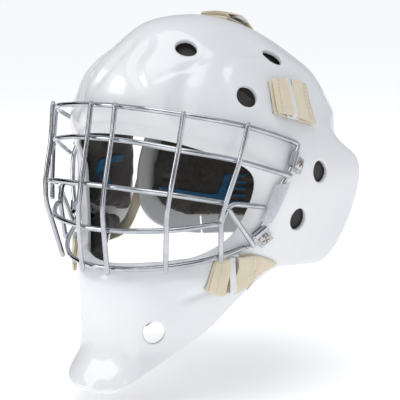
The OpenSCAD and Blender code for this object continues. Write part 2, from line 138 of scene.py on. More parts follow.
class Finish:
    """A material with one Principled shader, whose sockets are set by name."""

    def __init__(self, name, **sockets):
        self.material = bpy.data.materials.new(name)
        self.material.use_nodes = True
        tree = self.material.node_tree
        self.shader = tree.nodes["Principled BSDF"]
        self.start = Value(tree, None)
        self.set(**sockets)

    def set(self, **sockets):
        for name, given in sockets.items():
            self.start.put(self.shader.inputs[name.replace("_", " ")], given)

    def node(self, kind, *inputs, **more):
        return self.start.node(kind, *inputs, **more)

    def place(self, *scale):
        """Object coordinates, scaled along X, Y and Z."""
        at = self.node("ShaderNodeTexCoord", out="Object")
        return self.node("ShaderNodeMapping", ("Vector", at), ("Scale", scale or (1, 1, 1)))

    def noise(self, scale, detail=3.0, where=None, rough=0.5):
        return self.node("ShaderNodeTexNoise", ("Vector", where or self.place()), ("Scale", scale),
                         ("Detail", detail), ("Roughness", rough))

    def tint(self, mask, low, high):
        return self.node("ShaderNodeMix", (0, mask), (6, (*low, 1)), (7, (*high, 1)), out=2,
                         data_type="RGBA")

    def mark(self, name):
        """A number that the piece's mesh carries at each point."""
        return self.node("ShaderNodeAttribute", out="Fac", attribute_name=name)

    def bump(self, height, strength, distance):
        return self.node("ShaderNodeBump", ("Strength", strength), ("Distance", distance),
                         ("Height", height))


print("shader helpers ready")

# %% [markdown]
# ## Finishes
# Gelcoat is white pigment under a clear, very smooth layer, so it gets a coat over a
# rougher base, and a faint long-wave waviness that bends its reflections. The inside of
# the shell is bare laminate, duller and greyer: the mesh marks it with a number.

# %% Gelcoat and laminate
gelcoat = Finish("white_gelcoat", Roughness=0.42, Coat_Roughness=0.04, IOR=1.5)
inside = gelcoat.mark("inside")
cloudy = gelcoat.noise(14.0)
fibres = gelcoat.noise(900.0, 2.0, gelcoat.place(1.0, 0.35, 1.0))
white = gelcoat.tint(cloudy.smooth(0.3, 0.7), (0.83, 0.845, 0.86), (0.87, 0.88, 0.885))
bare = gelcoat.tint(fibres.smooth(0.35, 0.65), (0.50, 0.50, 0.50), (0.62, 0.62, 0.61))
gelcoat.set(Base_Color=gelcoat.node("ShaderNodeMix", (0, inside), (6, white), (7, bare), out=2,
                                    data_type="RGBA"))
gelcoat.set(Roughness=0.36 + 0.06 * cloudy + 0.3 * inside, Coat_Weight=0.9 * (1 - inside))
waves = gelcoat.noise(22.0, 1.0)
gelcoat.set(Normal=gelcoat.bump(waves * (1 - inside) + 0.4 * fibres * inside, 0.25, 0.0012))
print("finish:", gelcoat.material.name)

# %% [markdown]
# Plated wire is a mirror with a slight haze where it was drawn and polished, so it is
# fully metallic, and only its roughness and a fine scratch bump change.

# %% Plated wire, nickel and label film
chrome = Finish("plated_wire", Metallic=1.0, IOR=2.5)
haze = chrome.noise(60.0, 4.0)
drawn = chrome.noise(1600.0, 2.0)
chrome.set(Base_Color=chrome.tint(haze.smooth(0.3, 0.75), (0.42, 0.435, 0.46), (0.60, 0.615, 0.64)))
chrome.set(Roughness=0.06 + 0.1 * haze, Normal=chrome.bump(drawn, 0.06, 0.0002))

nickel = Finish("nickel_plate", Metallic=1.0)
pits = nickel.noise(700.0, 3.0)
nickel.set(Base_Color=nickel.tint(pits.smooth(0.35, 0.7), (0.45, 0.43, 0.40), (0.68, 0.66, 0.62)))
nickel.set(Roughness=0.16 + 0.2 * pits, Normal=nickel.bump(pits, 0.05, 0.0001))

film = Finish("label_film", Coat_Weight=0.15, Metallic=0.35)
speckle = film.noise(450.0, 4.0)
film.set(Base_Color=film.tint(speckle.smooth(0.3, 0.7), (0.52, 0.54, 0.57), (0.60, 0.62, 0.65)))
film.set(Roughness=0.38 + 0.2 * speckle, Normal=film.bump(speckle, 0.05, 0.0001))
print("metals:", chrome.material.name, nickel.material.name, film.material.name)

# %% [markdown]
# Elastic webbing is ribs of rubber bound by a cream yarn. The pattern follows the strap
# through its UV map, whose unit is one millimetre, so a rib is the same width everywhere.

# %% Webbing, buckle plastic, foam and blue fabric
def weave(finish, ribs_per_mm, picks_per_mm):
    """Height of a plain weave: long ribs crossed by picks, each hiding the other in turn."""
    along = finish.node("ShaderNodeUVMap", uv_map="UVMap")
    across_mm = finish.node("ShaderNodeSeparateXYZ", ("Vector", along), out="X")
    along_mm = finish.node("ShaderNodeSeparateXYZ", ("Vector", along), out="Y")
    rib = (across_mm * (2 * math.pi * ribs_per_mm)).sine()
    pick = (along_mm * (2 * math.pi * picks_per_mm)).sine()
    return 0.5 + 0.25 * rib + 0.25 * rib * pick


webbing = Finish("cream_webbing", Sheen_Weight=0.3, Sheen_Roughness=0.5)
threads = weave(webbing, 0.8, 1.1)
worn = webbing.noise(120.0, 4.0)
webbing.set(Base_Color=webbing.tint((threads * 0.6 + worn * 0.4).smooth(0.2, 0.8),
                                    (0.70, 0.61, 0.45), (0.83, 0.75, 0.58)))
webbing.set(Roughness=0.75 + 0.2 * worn, Normal=webbing.bump(threads, 0.35, 0.00025))

moulded = Finish("white_plastic", Coat_Weight=0.2)
grain = moulded.noise(500.0, 3.0)
moulded.set(Base_Color=moulded.tint(grain.smooth(0.3, 0.7), (0.74, 0.75, 0.76), (0.82, 0.82, 0.82)))
moulded.set(Roughness=0.35 + 0.15 * grain, Normal=moulded.bump(grain, 0.12, 0.0002))

foam_skin = Finish("foam_skin", Sheen_Weight=0.15)
pores = foam_skin.noise(420.0, 5.0)
patches = foam_skin.noise(25.0, 2.0)
foam_skin.set(Base_Color=foam_skin.tint((pores * 0.5 + patches * 0.5).smooth(0.35, 0.65),
                                        (0.022, 0.019, 0.017), (0.058, 0.050, 0.044)))
foam_skin.set(Roughness=0.62 + 0.25 * pores, Normal=foam_skin.bump(pores, 0.35, 0.0005))

blue_mesh = Finish("blue_fabric", Sheen_Weight=0.3)
knit = blue_mesh.noise(900.0, 2.0)
blue_mesh.set(Base_Color=blue_mesh.tint(knit.smooth(0.3, 0.7), (0.0, 0.055, 0.13), (0.003, 0.13, 0.26)))
blue_mesh.set(Roughness=0.6 + 0.3 * knit, Normal=blue_mesh.bump(knit, 0.4, 0.0004))

guard_plastic = Finish("guard_plastic", Coat_Weight=0.1)
mist = guard_plastic.noise(300.0, 4.0)
guard_plastic.set(Base_Color=guard_plastic.tint(mist.smooth(0.3, 0.7),
                                                (0.68, 0.69, 0.71), (0.71, 0.72, 0.73)))
guard_plastic.set(Roughness=0.46 + 0.06 * mist, Normal=guard_plastic.bump(mist, 0.05, 0.0002))
print("soft finishes:", len(bpy.data.materials), "materials so far")

# %% [markdown]
# ## Smooth curves and the skin of the shell
# The shell was laid up in a mould that a designer drew through guide points. The same
# guide points as in the CAD source give the same surface here: `t` counts the rows round
# the face opening and `s` the places from the opening out to the rim. Because the surface
# is a function, every strap, clip and pad can be laid on it exactly.

# %% Curves through guide points
def unit(v):
    return v / np.maximum(np.linalg.norm(v, axis=-1, keepdims=True), 1e-9)


def pull(k):
    return math.sqrt(3) * (math.sqrt(3) - 2) ** abs(k)


def open_knots(points):
    """Knots of the cubic curve through the points, which run along the first axis."""
    points = np.asarray(points, float)
    n = len(points) - 1

    def beyond(j):
        if j < 0:
            return 2 * points[0] - points[min(-j, n)]
        return 2 * points[n] - points[max(2 * n - j, 0)] if j > n else points[j]
    return np.stack([sum(pull(k) * beyond(j + k) for k in range(-6, 7)) for j in range(-1, n + 2)])


def weights(f):
    return np.stack([(1 - f) ** 3, 3 * f ** 3 - 6 * f ** 2 + 4,
                     -3 * f ** 3 + 3 * f ** 2 + 3 * f + 1, f ** 3], -1) / 6


def on_curve(points, x):
    """Points at places x on the curve, where x counts guide points."""
    knots, x = open_knots(points), np.asarray(x, float)
    i = np.clip(np.floor(x).astype(int), 0, len(knots) - 4)
    w = weights(x - i)
    return sum(w[..., a, None] * knots[i + a] for a in range(4))


def curve(points, per=12):
    return on_curve(points, np.linspace(0, len(points) - 1, (len(points) - 1) * per + 1))


def rounded(path, radius, per=8):
    """The polyline with each inner corner rounded."""
    path = [np.asarray(p, float) for p in path]
    made = [path[0]]
    for before, corner, after in zip(path, path[1:], path[2:]):
        a, b = before - corner, after - corner
        start = corner + unit(a) * min(radius, np.linalg.norm(a) * 0.45)
        end = corner + unit(b) * min(radius, np.linalg.norm(b) * 0.45)
        for f in np.linspace(0, 1, per + 1):
            made.append((1 - f) ** 2 * start + 2 * f * (1 - f) * corner + f ** 2 * end)
    return np.array(made + [path[-1]])


# %% The skin
class Skin:
    """Smooth surface through rows of guide points, mirrored to the wearer's right."""

    def __init__(self, rows):
        rows = np.array(rows, float)
        rows = np.concatenate([rows, rows[-2:0:-1] * (-1, 1, 1)])
        ring = sum(pull(k) * np.roll(rows, -k, axis=0) for k in range(-6, 7))
        self.turn, self.last = len(rows), rows.shape[1] - 1
        self.knots = np.swapaxes(open_knots(np.swapaxes(ring, 0, 1)), 0, 1)

    def at(self, t, s):
        t, s = np.asarray(t, float) % self.turn, np.clip(np.asarray(s, float), 0, self.last)
        i, j = np.floor(t).astype(int), np.minimum(np.floor(s).astype(int), self.last - 1)
        wt, ws = weights(t - i), weights(s - j)
        return sum((wt[..., a] * ws[..., b])[..., None] * self.knots[(i + a - 1) % self.turn, j + b]
                   for a in range(4) for b in range(4))

    def outward(self, t, s, e=0.01):
        t, s = np.asarray(t, float), np.asarray(s, float)
        along = self.at(t + e, s) - self.at(t - e, s)
        away = self.at(t, np.minimum(s + e, self.last)) - self.at(t, np.maximum(s - e, 0))
        return unit(np.cross(along, away))

    def over(self, t, s, h=0.0):
        return self.at(t, s) + np.asarray(h, float)[..., None] * self.outward(t, s)


STATIONS = [
  [[0,-106.5,66], [0,-111,80], [0,-110,100], [0,-100,119],
   [0,-80,134], [0,-46,151], [0,26,149], [0,98,116]],
  [[24,-103.5,65], [26,-107,79], [28,-105,98], [31,-93,117],
   [31,-70,131], [30,-34,147], [37,24,140], [40,94,110]],
  [[48,-93,61], [52,-94,75], [54,-89,93], [56,-75,111],
   [55,-54,124], [52,-20,134], [62,24,125], [69,82,88]],
  [[70,-75,52], [76,-74,64], [80,-68,80], [81,-54,98],
   [80,-34,109], [80,-4,114], [86,34,103], [87,68,71]],
  [[84.5,-56,41], [92,-53,50], [97,-45,59], [99,-34,68],
   [99,-18,73], [98,4,76], [98,32,72], [98,56,53]],
  [[86.5,-47.5,27], [97,-42,28], [105,-32,29], [107,-16,31],
   [109,0,33], [111,18,35], [114,36,37], [119,52,38]],
  [[82,-50.5,8], [93,-47,6], [99.5,-38,5], [102,-24,2],
   [105,-8,1], [108,11,0], [111,30,-1], [116,49,-2]],
  [[72,-61,-14], [81,-57,-18], [87,-47,-22], [92,-34,-26],
   [96,-20,-30], [99,-6,-34], [102,8,-38], [105,23,-41]],
  [[56,-79.5,-27], [64,-78,-32], [71,-70,-35], [76,-61,-38],
   [80,-52,-40], [84,-41,-41.5], [87,-28,-42], [90,-14,-41.5]],
  [[48,-89,-29], [56,-88,-36], [62,-84,-41], [66,-79,-46],
   [69,-73,-50], [72,-67,-54], [74,-59,-58], [75,-52,-62]],
  [[40,-98,-30], [47,-100,-38], [52,-97,-46], [56,-91,-54],
   [58,-86,-62], [59,-82,-70], [60,-78,-78], [59,-76,-87]],
  [[25,-110.5,-31], [29,-115,-40], [33,-115,-50], [37,-112,-61],
   [39,-109,-73], [40,-107,-85], [40,-106,-97], [41,-108,-107]],
  [[12,-117.5,-31.8], [14,-123,-42], [16,-124,-53], [18,-122,-66],
   [20,-121,-80], [22,-122,-95], [24,-127,-109], [26,-137,-121.5]],
  [[0,-120,-32], [0,-126,-43], [0,-127,-55], [0,-126,-69],
   [0,-125,-84], [0,-127,-99], [0,-132,-113], [0,-142,-127]]
]
skin = Skin(STATIONS)
print("skin rows:", skin.turn, " brow to crown:", np.round(skin.at(0, 3), 1))

# %% [markdown]
# ## Making pieces
# Every piece below is built from points in millimetres, turned into a mesh in metres at
# the origin, given its finish, hung on the body it rides, and the CAD node it stands for
# is hidden. One function does that, so that no piece can be forgotten.

# %% From points to a riding piece
def mesh_of(name, points, faces, side=1, uv=None, marks=None, crease=35):
    """Mesh object from points in mm. side=-1 mirrors it to the wearer's right."""
    points = np.asarray(points, float) * (side * MM, MM, MM)
    faces = [tuple(int(i) for i in face) for face in faces]
    if side < 0:
        faces = [face[::-1] for face in faces]
    mesh = bpy.data.meshes.new(name)
    mesh.from_pydata(points.tolist(), [], faces)
    if uv is not None:
        layer = mesh.uv_layers.new(name="UVMap")
        corners = np.empty(len(mesh.loops), dtype=np.int32)
        mesh.loops.foreach_get("vertex_index", corners)
        layer.data.foreach_set("uv", np.asarray(uv, np.float32)[corners].ravel())
    for mark, values in (marks or {}).items():
        mesh.attributes.new(mark, "FLOAT", "POINT").data.foreach_set("value", np.asarray(values, np.float32))
    mesh.shade_smooth()
    if crease:
        mesh.set_sharp_from_angle(angle=math.radians(crease))
    thing = bpy.data.objects.new(name, mesh)
    bpy.context.scene.collection.objects.link(thing)
    return thing


def settle(thing, body, finish, slot, *nodes):
    """Gives the piece its finish and its body, and hides the CAD nodes it stands for; slot is not used."""
    thing.data.materials.clear()
    thing.data.materials.append(finish.material)
    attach(thing, body)
    if nodes:
        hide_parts(*nodes)
    return thing


def joined(parts):
    """Several (points, faces) lists as one."""
    points, faces, at = [], [], 0
    for some_points, some_faces in parts:
        points.append(np.asarray(some_points, float))
        faces += [tuple(i + at for i in face) for face in some_faces]
        at += len(some_points)
    return np.concatenate(points), faces


def tube(rings, closed=False):
    """Points and faces of a skin over rings of points, capped at both ends."""
    rings = np.asarray(rings, float)
    n, m = rings.shape[:2]
    faces = [(i * m + k, i * m + (k + 1) % m, (i + 1) % n * m + (k + 1) % m, (i + 1) % n * m + k)
             for i in range(n if closed else n - 1) for k in range(m)]
    if not closed:
        faces += [tuple(range(m))[::-1], tuple((n - 1) * m + k for k in range(m))]
    return rings.reshape(-1, 3), faces


SIDES = (("left", 1), ("right", -1))
print("piece helpers ready")

# %% [markdown]
# ## The shell
# A fibreglass shell is one wall about 4 mm thick, with its holes drilled and every edge
# sanded round. Boolean cuts leave ragged shading on a curved sheet, so the wall is a fine
# grid instead: where a hole's rim crosses the grid, the nearest points slide onto the rim
# before the cells inside are dropped. Then the open edges are rolled over to the inside.

# %% Cutting holes in a grid
class Hole:
    """Round hole, or a slot when long is more than 0, through the wall at a point."""

    def __init__(self, centre, normal, ahead, radius, long=0.0):
        self.centre, self.normal = np.asarray(centre, float), unit(np.asarray(normal, float))
        self.across = unit(np.cross(self.normal, ahead))
        self.ahead = np.cross(self.across, self.normal)
        self.radius, self.long = radius, long

    def gap(self, points):
        """Distance outside the rim, negative inside the hole."""
        q = points - self.centre
        along = np.maximum(np.abs(q @ self.ahead) - self.long, 0)
        rim = np.hypot(along, q @ self.across) - self.radius
        return np.where(np.abs(q @ self.normal) < 14, rim, 1e3)


def cut_grid(surface, T, S, holes, turn=None):
    """Grid of (t, s) with its points slid onto the rims, and the cells left outside the holes."""
    T, S = T.copy(), S.copy()

    def gaps():
        points = surface(T, S)
        return np.min([hole.gap(points) for hole in holes], axis=0) if holes else np.full(T.shape, 1e3)

    def beside(grid, dt, ds):
        if turn:
            moved = np.roll(grid, -dt, axis=0)
        else:
            moved = grid[np.clip(np.arange(grid.shape[0]) + dt, 0, grid.shape[0] - 1)]
        return moved[:, np.clip(np.arange(grid.shape[1]) + ds, 0, grid.shape[1] - 1)]

    def step(dt, ds):
        change = beside(T, dt, ds) - T
        if turn:
            change = (change + turn / 2) % turn - turn / 2
        return change, beside(S, dt, ds) - S

    ways = ((1, 0), (-1, 0), (0, 1), (0, -1))
    gap = gaps()
    best, shift_t, shift_s = np.full(T.shape, 1.0), np.zeros(T.shape), np.zeros(T.shape)
    for dt, ds in ways:
        other = beside(gap, dt, ds)
        f = np.where(gap * other < 0, np.abs(gap) / (np.abs(gap) + np.abs(other)), 1.0)
        move_t, move_s = step(dt, ds)
        closer = f < best
        best = np.where(closer, f, best)
        shift_t, shift_s = np.where(closer, f * move_t, shift_t), np.where(closer, f * move_s, shift_s)
    on = best <= 0.5
    T, S = T + on * shift_t, S + on * shift_s
    state = np.where(on, 0, np.sign(gap)).astype(int)
    near = (gap < 6) & (state > 0)
    near[:, 0] = near[:, -1] = False
    if not turn:
        near[0], near[-1] = False, False
    for _ in range(4):
        sum_t, sum_s, count = 0, 0, 0
        for dt, ds in ways:
            used = beside(state, dt, ds) >= 0
            move_t, move_s = step(dt, ds)
            sum_t, sum_s, count = sum_t + used * move_t, sum_s + used * move_s, count + used
        share = near * 0.5 / np.maximum(count, 1)
        T, S = T + share * sum_t, S + share * sum_s
    rows, places = T.shape
    i, j = np.meshgrid(np.arange(rows if turn else rows - 1), np.arange(places - 1), indexing="ij")
    ring = [(a % rows) * places + b for a, b in ((i, j), (i + 1, j), (i + 1, j + 1), (i, j + 1))]
    corners = np.stack([c.ravel() for c in ring], -1)
    states = state.ravel()[corners]
    middle = surface(T, S).reshape(-1, 3)[corners].mean(axis=1)
    open_middle = np.min([hole.gap(middle) for hole in holes], axis=0) if holes else np.ones(len(middle))
    whole = (states >= 0).all(axis=1) & (open_middle > -0.05)
    faces = [tuple(c) for c in corners[whole]]
    lone = (states < 0).sum(axis=1) == 1
    for c, four in zip(corners[lone], states[lone]):
        k = int(np.argmin(four))
        if four[(k + 2) % 4] > 0:
            faces.append((c[(k + 1) % 4], c[(k + 2) % 4], c[(k + 3) % 4]))
    return T, S, faces


def wall(points, normals, faces, thick, bend):
    """Closed wall under the faces, with its edges rolled round, and a mark for its inner side."""
    used = sorted({i for face in faces for i in face})
    new = {old: k for k, old in enumerate(used)}
    faces = [tuple(new[i] for i in face) for face in faces]
    P, N = points[used], normals[used]
    count = len(P)
    sides = {(face[k], face[(k + 1) % len(face)]) for face in faces for k in range(len(face))}
    rim = [(a, b) for a, b in sides if (b, a) not in sides]
    away = np.zeros_like(P)
    for a, b in rim:
        out = unit(np.cross(P[b] - P[a], N[a] + N[b]))
        away[a] += out
        away[b] += out
    on_rim = sorted({i for edge in rim for i in edge})
    place = {old: k for k, old in enumerate(on_rim)}
    R, B, M = P[on_rim], unit(away[on_rim]), N[on_rim]
    rings, quarter = [], np.radians((30, 60, 90))
    for a in quarter:
        rings.append(R + bend * math.sin(a) * B - bend * (1 - math.cos(a)) * M)
    for a in quarter[::-1]:
        rings.append(R + bend * math.sin(a) * B - (thick - bend * (1 - math.cos(a))) * M)
    made = faces + [tuple(i + count for i in face[::-1]) for face in faces]
    start = 2 * count
    for a, b in rim:
        chain_a = [a] + [start + r * len(R) + place[a] for r in range(6)] + [a + count]
        chain_b = [b] + [start + r * len(R) + place[b] for r in range(6)] + [b + count]
        made += [(chain_b[k], chain_a[k], chain_a[k + 1], chain_b[k + 1]) for k in range(7)]
    marks = np.concatenate([np.zeros(count), np.ones(count), np.zeros(6 * len(R))])
    return np.concatenate([P, P - thick * N] + rings), made, marks


print("wall cutter ready")

# %% [markdown]
# The mould has soft character lines: a narrow peak down the forehead between two grooves,
# a lobe over each eye, a valley behind it, and a crease along the jaw. Each is a path on
# the skin, and the skin rises or sinks by how far a point is from it.

# %% Relief of the mould
def near_path(points, path):
    """Distance to a path, how far along it the nearest place is, and the offset from it."""
    dense = curve(path, 10)
    best = np.full(points.shape[:-1], 1e9)
    where, offset = np.zeros(points.shape[:-1]), np.zeros(points.shape)
    for k, q in enumerate(dense):
        d = np.linalg.norm(points - q, axis=-1)
        closer = d < best
        best = np.where(closer, d, best)
        where = np.where(closer, k / (len(dense) - 1), where)
        offset[closer] = (points - q)[closer]
    return best, where, offset, dense


def ramp(x, low, high):
    f = np.clip((x - low) / (high - low), 0, 1)
    return f * f * (3 - 2 * f)


def groove(points, path, depth, width):
    d, f, _, _ = near_path(points, path)
    return -depth * np.exp(-(d / width) ** 2) * ramp(f, 0, 0.25) * ramp(1 - f, 0, 0.25)


def bank(points, normals, path, height, edge, fall):
    """A step along the path, raised on its left, that dies away after a distance."""
    d, f, offset, dense = near_path(points, path)
    ahead = unit(np.gradient(dense, axis=0))[np.round(f * (len(dense) - 1)).astype(int)]
    left = np.einsum("...i,...i", np.cross(normals, ahead), offset)
    rise = ramp(left, -edge, edge) * np.exp(-np.maximum(left, 0) / fall)
    return height * rise * ramp(f, 0, 0.2) * ramp(1 - f, 0, 0.2) * np.exp(-(np.maximum(-left, 0) / fall))


PEAK_GROOVE = [[7, -70, 140], [9, -84, 131], [10, -95, 124],
               [14, -102, 115], [21, -106, 106], [30, -107, 97]]
LOBE_EDGE = [[28, -102, 104], [36.5, -95, 110], [47.6, -78, 117], [52, -65, 122], [52, -50, 127]]
VALLEY = [[50, -64, 117], [49, -80, 113], [49, -89, 102], [50, -93, 90], [54, -93, 79], [60, -91, 71]]
TEMPLE_EDGE = [[84, -60, 84], [76, -62, 96], [66, -58, 108], [62, -42, 117], [66, -22, 122], [72, 2, 120]]
JAW_CREASE = [[44, -98, -60], [56, -89, -57], [64, -80, -53], [72, -68, -49], [80, -54, -46]]


def relief(points, normals):
    """How far the skin stands out from the smooth surface, in mm, the same on both sides."""
    flip = np.where(points[..., :1] < 0, -1.0, 1.0) * np.array([1.0, 0, 0]) + np.array([0, 1.0, 1.0])
    p, n = points * flip, normals * flip
    rise = groove(p, PEAK_GROOVE, 3.2, 4.5)
    rise += groove(p, VALLEY, 3.4, 7.5)
    rise += bank(p, n, LOBE_EDGE, -2.4, 3.0, 18)
    rise += bank(p, n, TEMPLE_EDGE, -1.8, 4.0, 25)
    rise += groove(p, JAW_CREASE, 2.0, 4.0)
    return rise


# %% The shell itself
SHELL_T = 4.0
VENT_D = 19.5
SCREW_HOLE_D = 5.4
VENTS = [[1.16, 4.07], [2.67, 5.18], [3.09, 2.95], [5.04, 4.54], [6.13, 3.86], [11.14, 4.75]]
SCREWS = [[4.69, 2.94], [6.67, 1.92]]
UPPER_STRAP = [[[3.21, 4.19], [3.73, 3.36]], [[3.34, 4.79], [3.94, 4.03]], [[3.39, 5.4], [4.19, 5.17]]]
JAW_STRAP = [[[7.78, 1.11], [9.44, 3.53]], [[7.41, 1.38], [9.04, 5.23]], [[7.2, 2.36], [8.61, 6.3]],
             [[7.33, 4.29], [8.8, 6.9]]]
TOP_STRAP = [[[-0.33, 5.9], [0.33, 5.9]], [[-0.31, 6.18], [0.31, 6.18]], [[-0.29, 6.46], [0.29, 6.46]]]


def slot_of(strap):
    """The slot that a strap comes out of, along the strap's first line."""
    (t0, s0), (t1, s1) = strap[0]
    a, b, t, s = skin.at(t0, s0), skin.at(t1, s1), (t0 + t1) / 2, (s0 + s1) / 2
    return Hole(skin.at(t, s), skin.outward(t, s), b - a, 1.5, np.linalg.norm(b - a) / 2 - 0.5)


def mirrored_hole(hole):
    flip = np.array([-1, 1, 1])
    return Hole(hole.centre * flip, hole.normal * flip, hole.ahead * flip, hole.radius, hole.long)


one_side = [Hole(skin.at(t, s), skin.outward(t, s), (0, 0, 1), VENT_D / 2) for t, s in VENTS]
one_side += [Hole(skin.at(t, s), skin.outward(t, s), (0, 0, 1), SCREW_HOLE_D / 2) for t, s in SCREWS]
one_side += [slot_of(UPPER_STRAP), slot_of(JAW_STRAP)]
holes = one_side + [mirrored_hole(hole) for hole in one_side] + [slot_of(TOP_STRAP)]
T, S = np.meshgrid(np.arange(skin.turn * 14) / 14, np.linspace(0, skin.last, 106), indexing="ij")
T, S, shell_faces = cut_grid(skin.at, T, S, holes, turn=skin.turn)
base, up = skin.at(T, S), skin.outward(T, S)
raised = base + relief(base, up)[..., None] * up
points, faces, inner = wall(raised.reshape(-1, 3), up.reshape(-1, 3), shell_faces, SHELL_T, 1.1)
shell = mesh_of("shell_wall", points, faces, marks={"inside": inner})
settle(shell, SHELL, gelcoat, "shell", "shell")
print("shell:", len(points), "points,", len(faces), "faces,", len(holes), "holes")

# %% [markdown]
# ## Geometry Nodes trees
# Wires, stitches and screws repeat or follow a path, so small trees make them. A tree is
# built once, its inputs are named, and `grown` turns its result into a plain mesh.

# %% Trees for wires, fasteners and stitches
def tree(name, build, **inputs):
    """A Geometry Nodes tree. build gets the incoming geometry and the named inputs."""
    group = bpy.data.node_groups.new(name, "GeometryNodeTree")
    group.interface.new_socket("Geometry", in_out="INPUT", socket_type="NodeSocketGeometry")
    for label, kind in inputs.items():
        group.interface.new_socket(label, in_out="INPUT", socket_type="NodeSocket" + kind)
    group.interface.new_socket("Geometry", in_out="OUTPUT", socket_type="NodeSocketGeometry")
    entry, leave = group.nodes.new("NodeGroupInput"), group.nodes.new("NodeGroupOutput")
    sockets = {label: Value(group, entry.outputs[label]) for label in inputs}
    made = build(Value(group, entry.outputs["Geometry"]), **sockets)
    real = made.node("GeometryNodeRealizeInstances", (0, made))
    group.links.new(made.node("GeometryNodeSetMaterial", ("Geometry", real),
                              ("Material", sockets["finish"])).socket, leave.inputs[0])
    return group


def wire_tree(path, radius, spacing, beads, finish):
    """A round wire along each path, with a domed end and a bead of weld at each loose point."""
    even = path.node("GeometryNodeResampleCurve", ("Curve", path), ("Length", spacing), mode="LENGTH")
    circle = path.node("GeometryNodeCurvePrimitiveCircle", ("Resolution", 18), ("Radius", radius),
                       mode="RADIUS")
    tube_mesh = path.node("GeometryNodeCurveToMesh", (0, even), (1, circle), (2, True))
    dome = path.node("GeometryNodeMeshUVSphere", ("Segments", 18), ("Rings", 10), ("Radius", radius))
    ends = path.node("GeometryNodeCurveEndpointSelection", (0, 1), (1, 1))
    domes = path.node("GeometryNodeInstanceOnPoints", ("Points", even), ("Selection", ends),
                      ("Instance", dome))
    welds = path.node("GeometryNodeMeshIcoSphere", ("Radius", radius * 0.85), ("Subdivisions", 3))
    spots = path.node("GeometryNodeObjectInfo", (0, beads), out="Geometry")
    welded = path.node("GeometryNodeInstanceOnPoints", ("Points", spots), ("Instance", welds))
    join = path.tree.nodes.new("GeometryNodeJoinGeometry")
    for part in (welded, domes, tube_mesh):
        path.tree.links.new(part.socket, join.inputs[0])
    joined_up = Value(path.tree, join.outputs[0])
    return path.node("GeometryNodeSetShadeSmooth", ("Geometry", joined_up), ("Shade Smooth", True))


def fastener_tree(points, shape, finish):
    """The shape at each point, its Z along the point's normal and its X along the point's ahead."""
    normal = points.node("GeometryNodeInputNamedAttribute", ("Name", "out_of_wall"),
                         data_type="FLOAT_VECTOR")
    ahead = points.node("GeometryNodeInputNamedAttribute", ("Name", "ahead"), data_type="FLOAT_VECTOR")
    turned = points.node("FunctionNodeAxesToRotation", (0, normal), (1, ahead),
                         primary_axis="Z", secondary_axis="X")
    head = points.node("GeometryNodeObjectInfo", (0, shape), out="Geometry")
    return points.node("GeometryNodeInstanceOnPoints", ("Points", points), ("Instance", head),
                       ("Rotation", turned))


def stitch_tree(path, length, thickness, gap, finish):
    """Short stitches of thread along each path."""
    even = path.node("GeometryNodeResampleCurve", ("Curve", path), ("Length", length + gap), mode="LENGTH")
    spots = path.tree.nodes.new("GeometryNodeCurveToPoints")
    spots.mode = "EVALUATED"
    path.tree.links.new(even.socket, spots.inputs[0])
    thread = path.node("GeometryNodeMeshCylinder", ("Vertices", 6), ("Side Segments", 3),
                       ("Radius", thickness / 2), ("Depth", length))
    return path.node("GeometryNodeInstanceOnPoints", ("Points", Value(path.tree, spots.outputs["Points"])),
                     ("Instance", thread), ("Rotation", Value(path.tree, spots.outputs["Rotation"])))


WIRES = tree("wires", wire_tree, radius="Float", spacing="Float", beads="Object", finish="Material")
FASTENERS = tree("fasteners", fastener_tree, shape="Object", finish="Material")
STITCHES = tree("stitches", stitch_tree, length="Float", thickness="Float", gap="Float", finish="Material")


def grown(name, source, group, **inputs):
    """What the tree makes of the source, as a plain mesh object; the source goes."""
    modifier = source.modifiers.new(name, "NODES")
    modifier.node_group = group
    for item in group.interface.items_tree:
        if item.in_out == "INPUT" and item.name in inputs:
            modifier[item.identifier] = inputs[item.name]
    bpy.context.view_layer.update()
    mesh = bpy.data.meshes.new_from_object(source.evaluated_get(bpy.context.evaluated_depsgraph_get()))
    bpy.data.objects.remove(source)
    thing = bpy.data.objects.new(name, mesh)
    bpy.context.scene.collection.objects.link(thing)
    return thing


def path_object(paths, side=1):
    """A curve object through lists of points in mm."""
    data = bpy.data.curves.new("path", "CURVE")
    data.dimensions = "3D"
    for path in paths:
        path = np.asarray(path, float) * (side * MM, MM, MM)
        spline = data.splines.new("POLY")
        spline.points.add(len(path) - 1)
        spline.points.foreach_set("co", np.c_[path, np.ones(len(path))].ravel())
    thing = bpy.data.objects.new("path", data)
    bpy.context.scene.collection.objects.link(thing)
    return thing


def point_object(points, **vectors):
    """Loose points in mm, with a direction at each for every name given."""
    points = np.asarray(points, float).reshape(-1, 3) * MM
    mesh = bpy.data.meshes.new("points")
    mesh.from_pydata(points.tolist(), [], [])
    for name, values in vectors.items():
        values = np.asarray(values, np.float32)
        mesh.attributes.new(name, "FLOAT_VECTOR", "POINT").data.foreach_set("vector", values.ravel())
    thing = bpy.data.objects.new("points", mesh)
    bpy.context.scene.collection.objects.link(thing)
    return thing


print("trees:", ", ".join(group.name for group in bpy.data.node_groups))

# %% [markdown]
# ## The cage
# A cage is drawn steel wire, bent cold and resistance-welded where wires cross, then
# plated. Each wire is one swept tube on the same path as its CAD node; a small bead of
# weld fills each crossing, and the ends are domed by the plating.

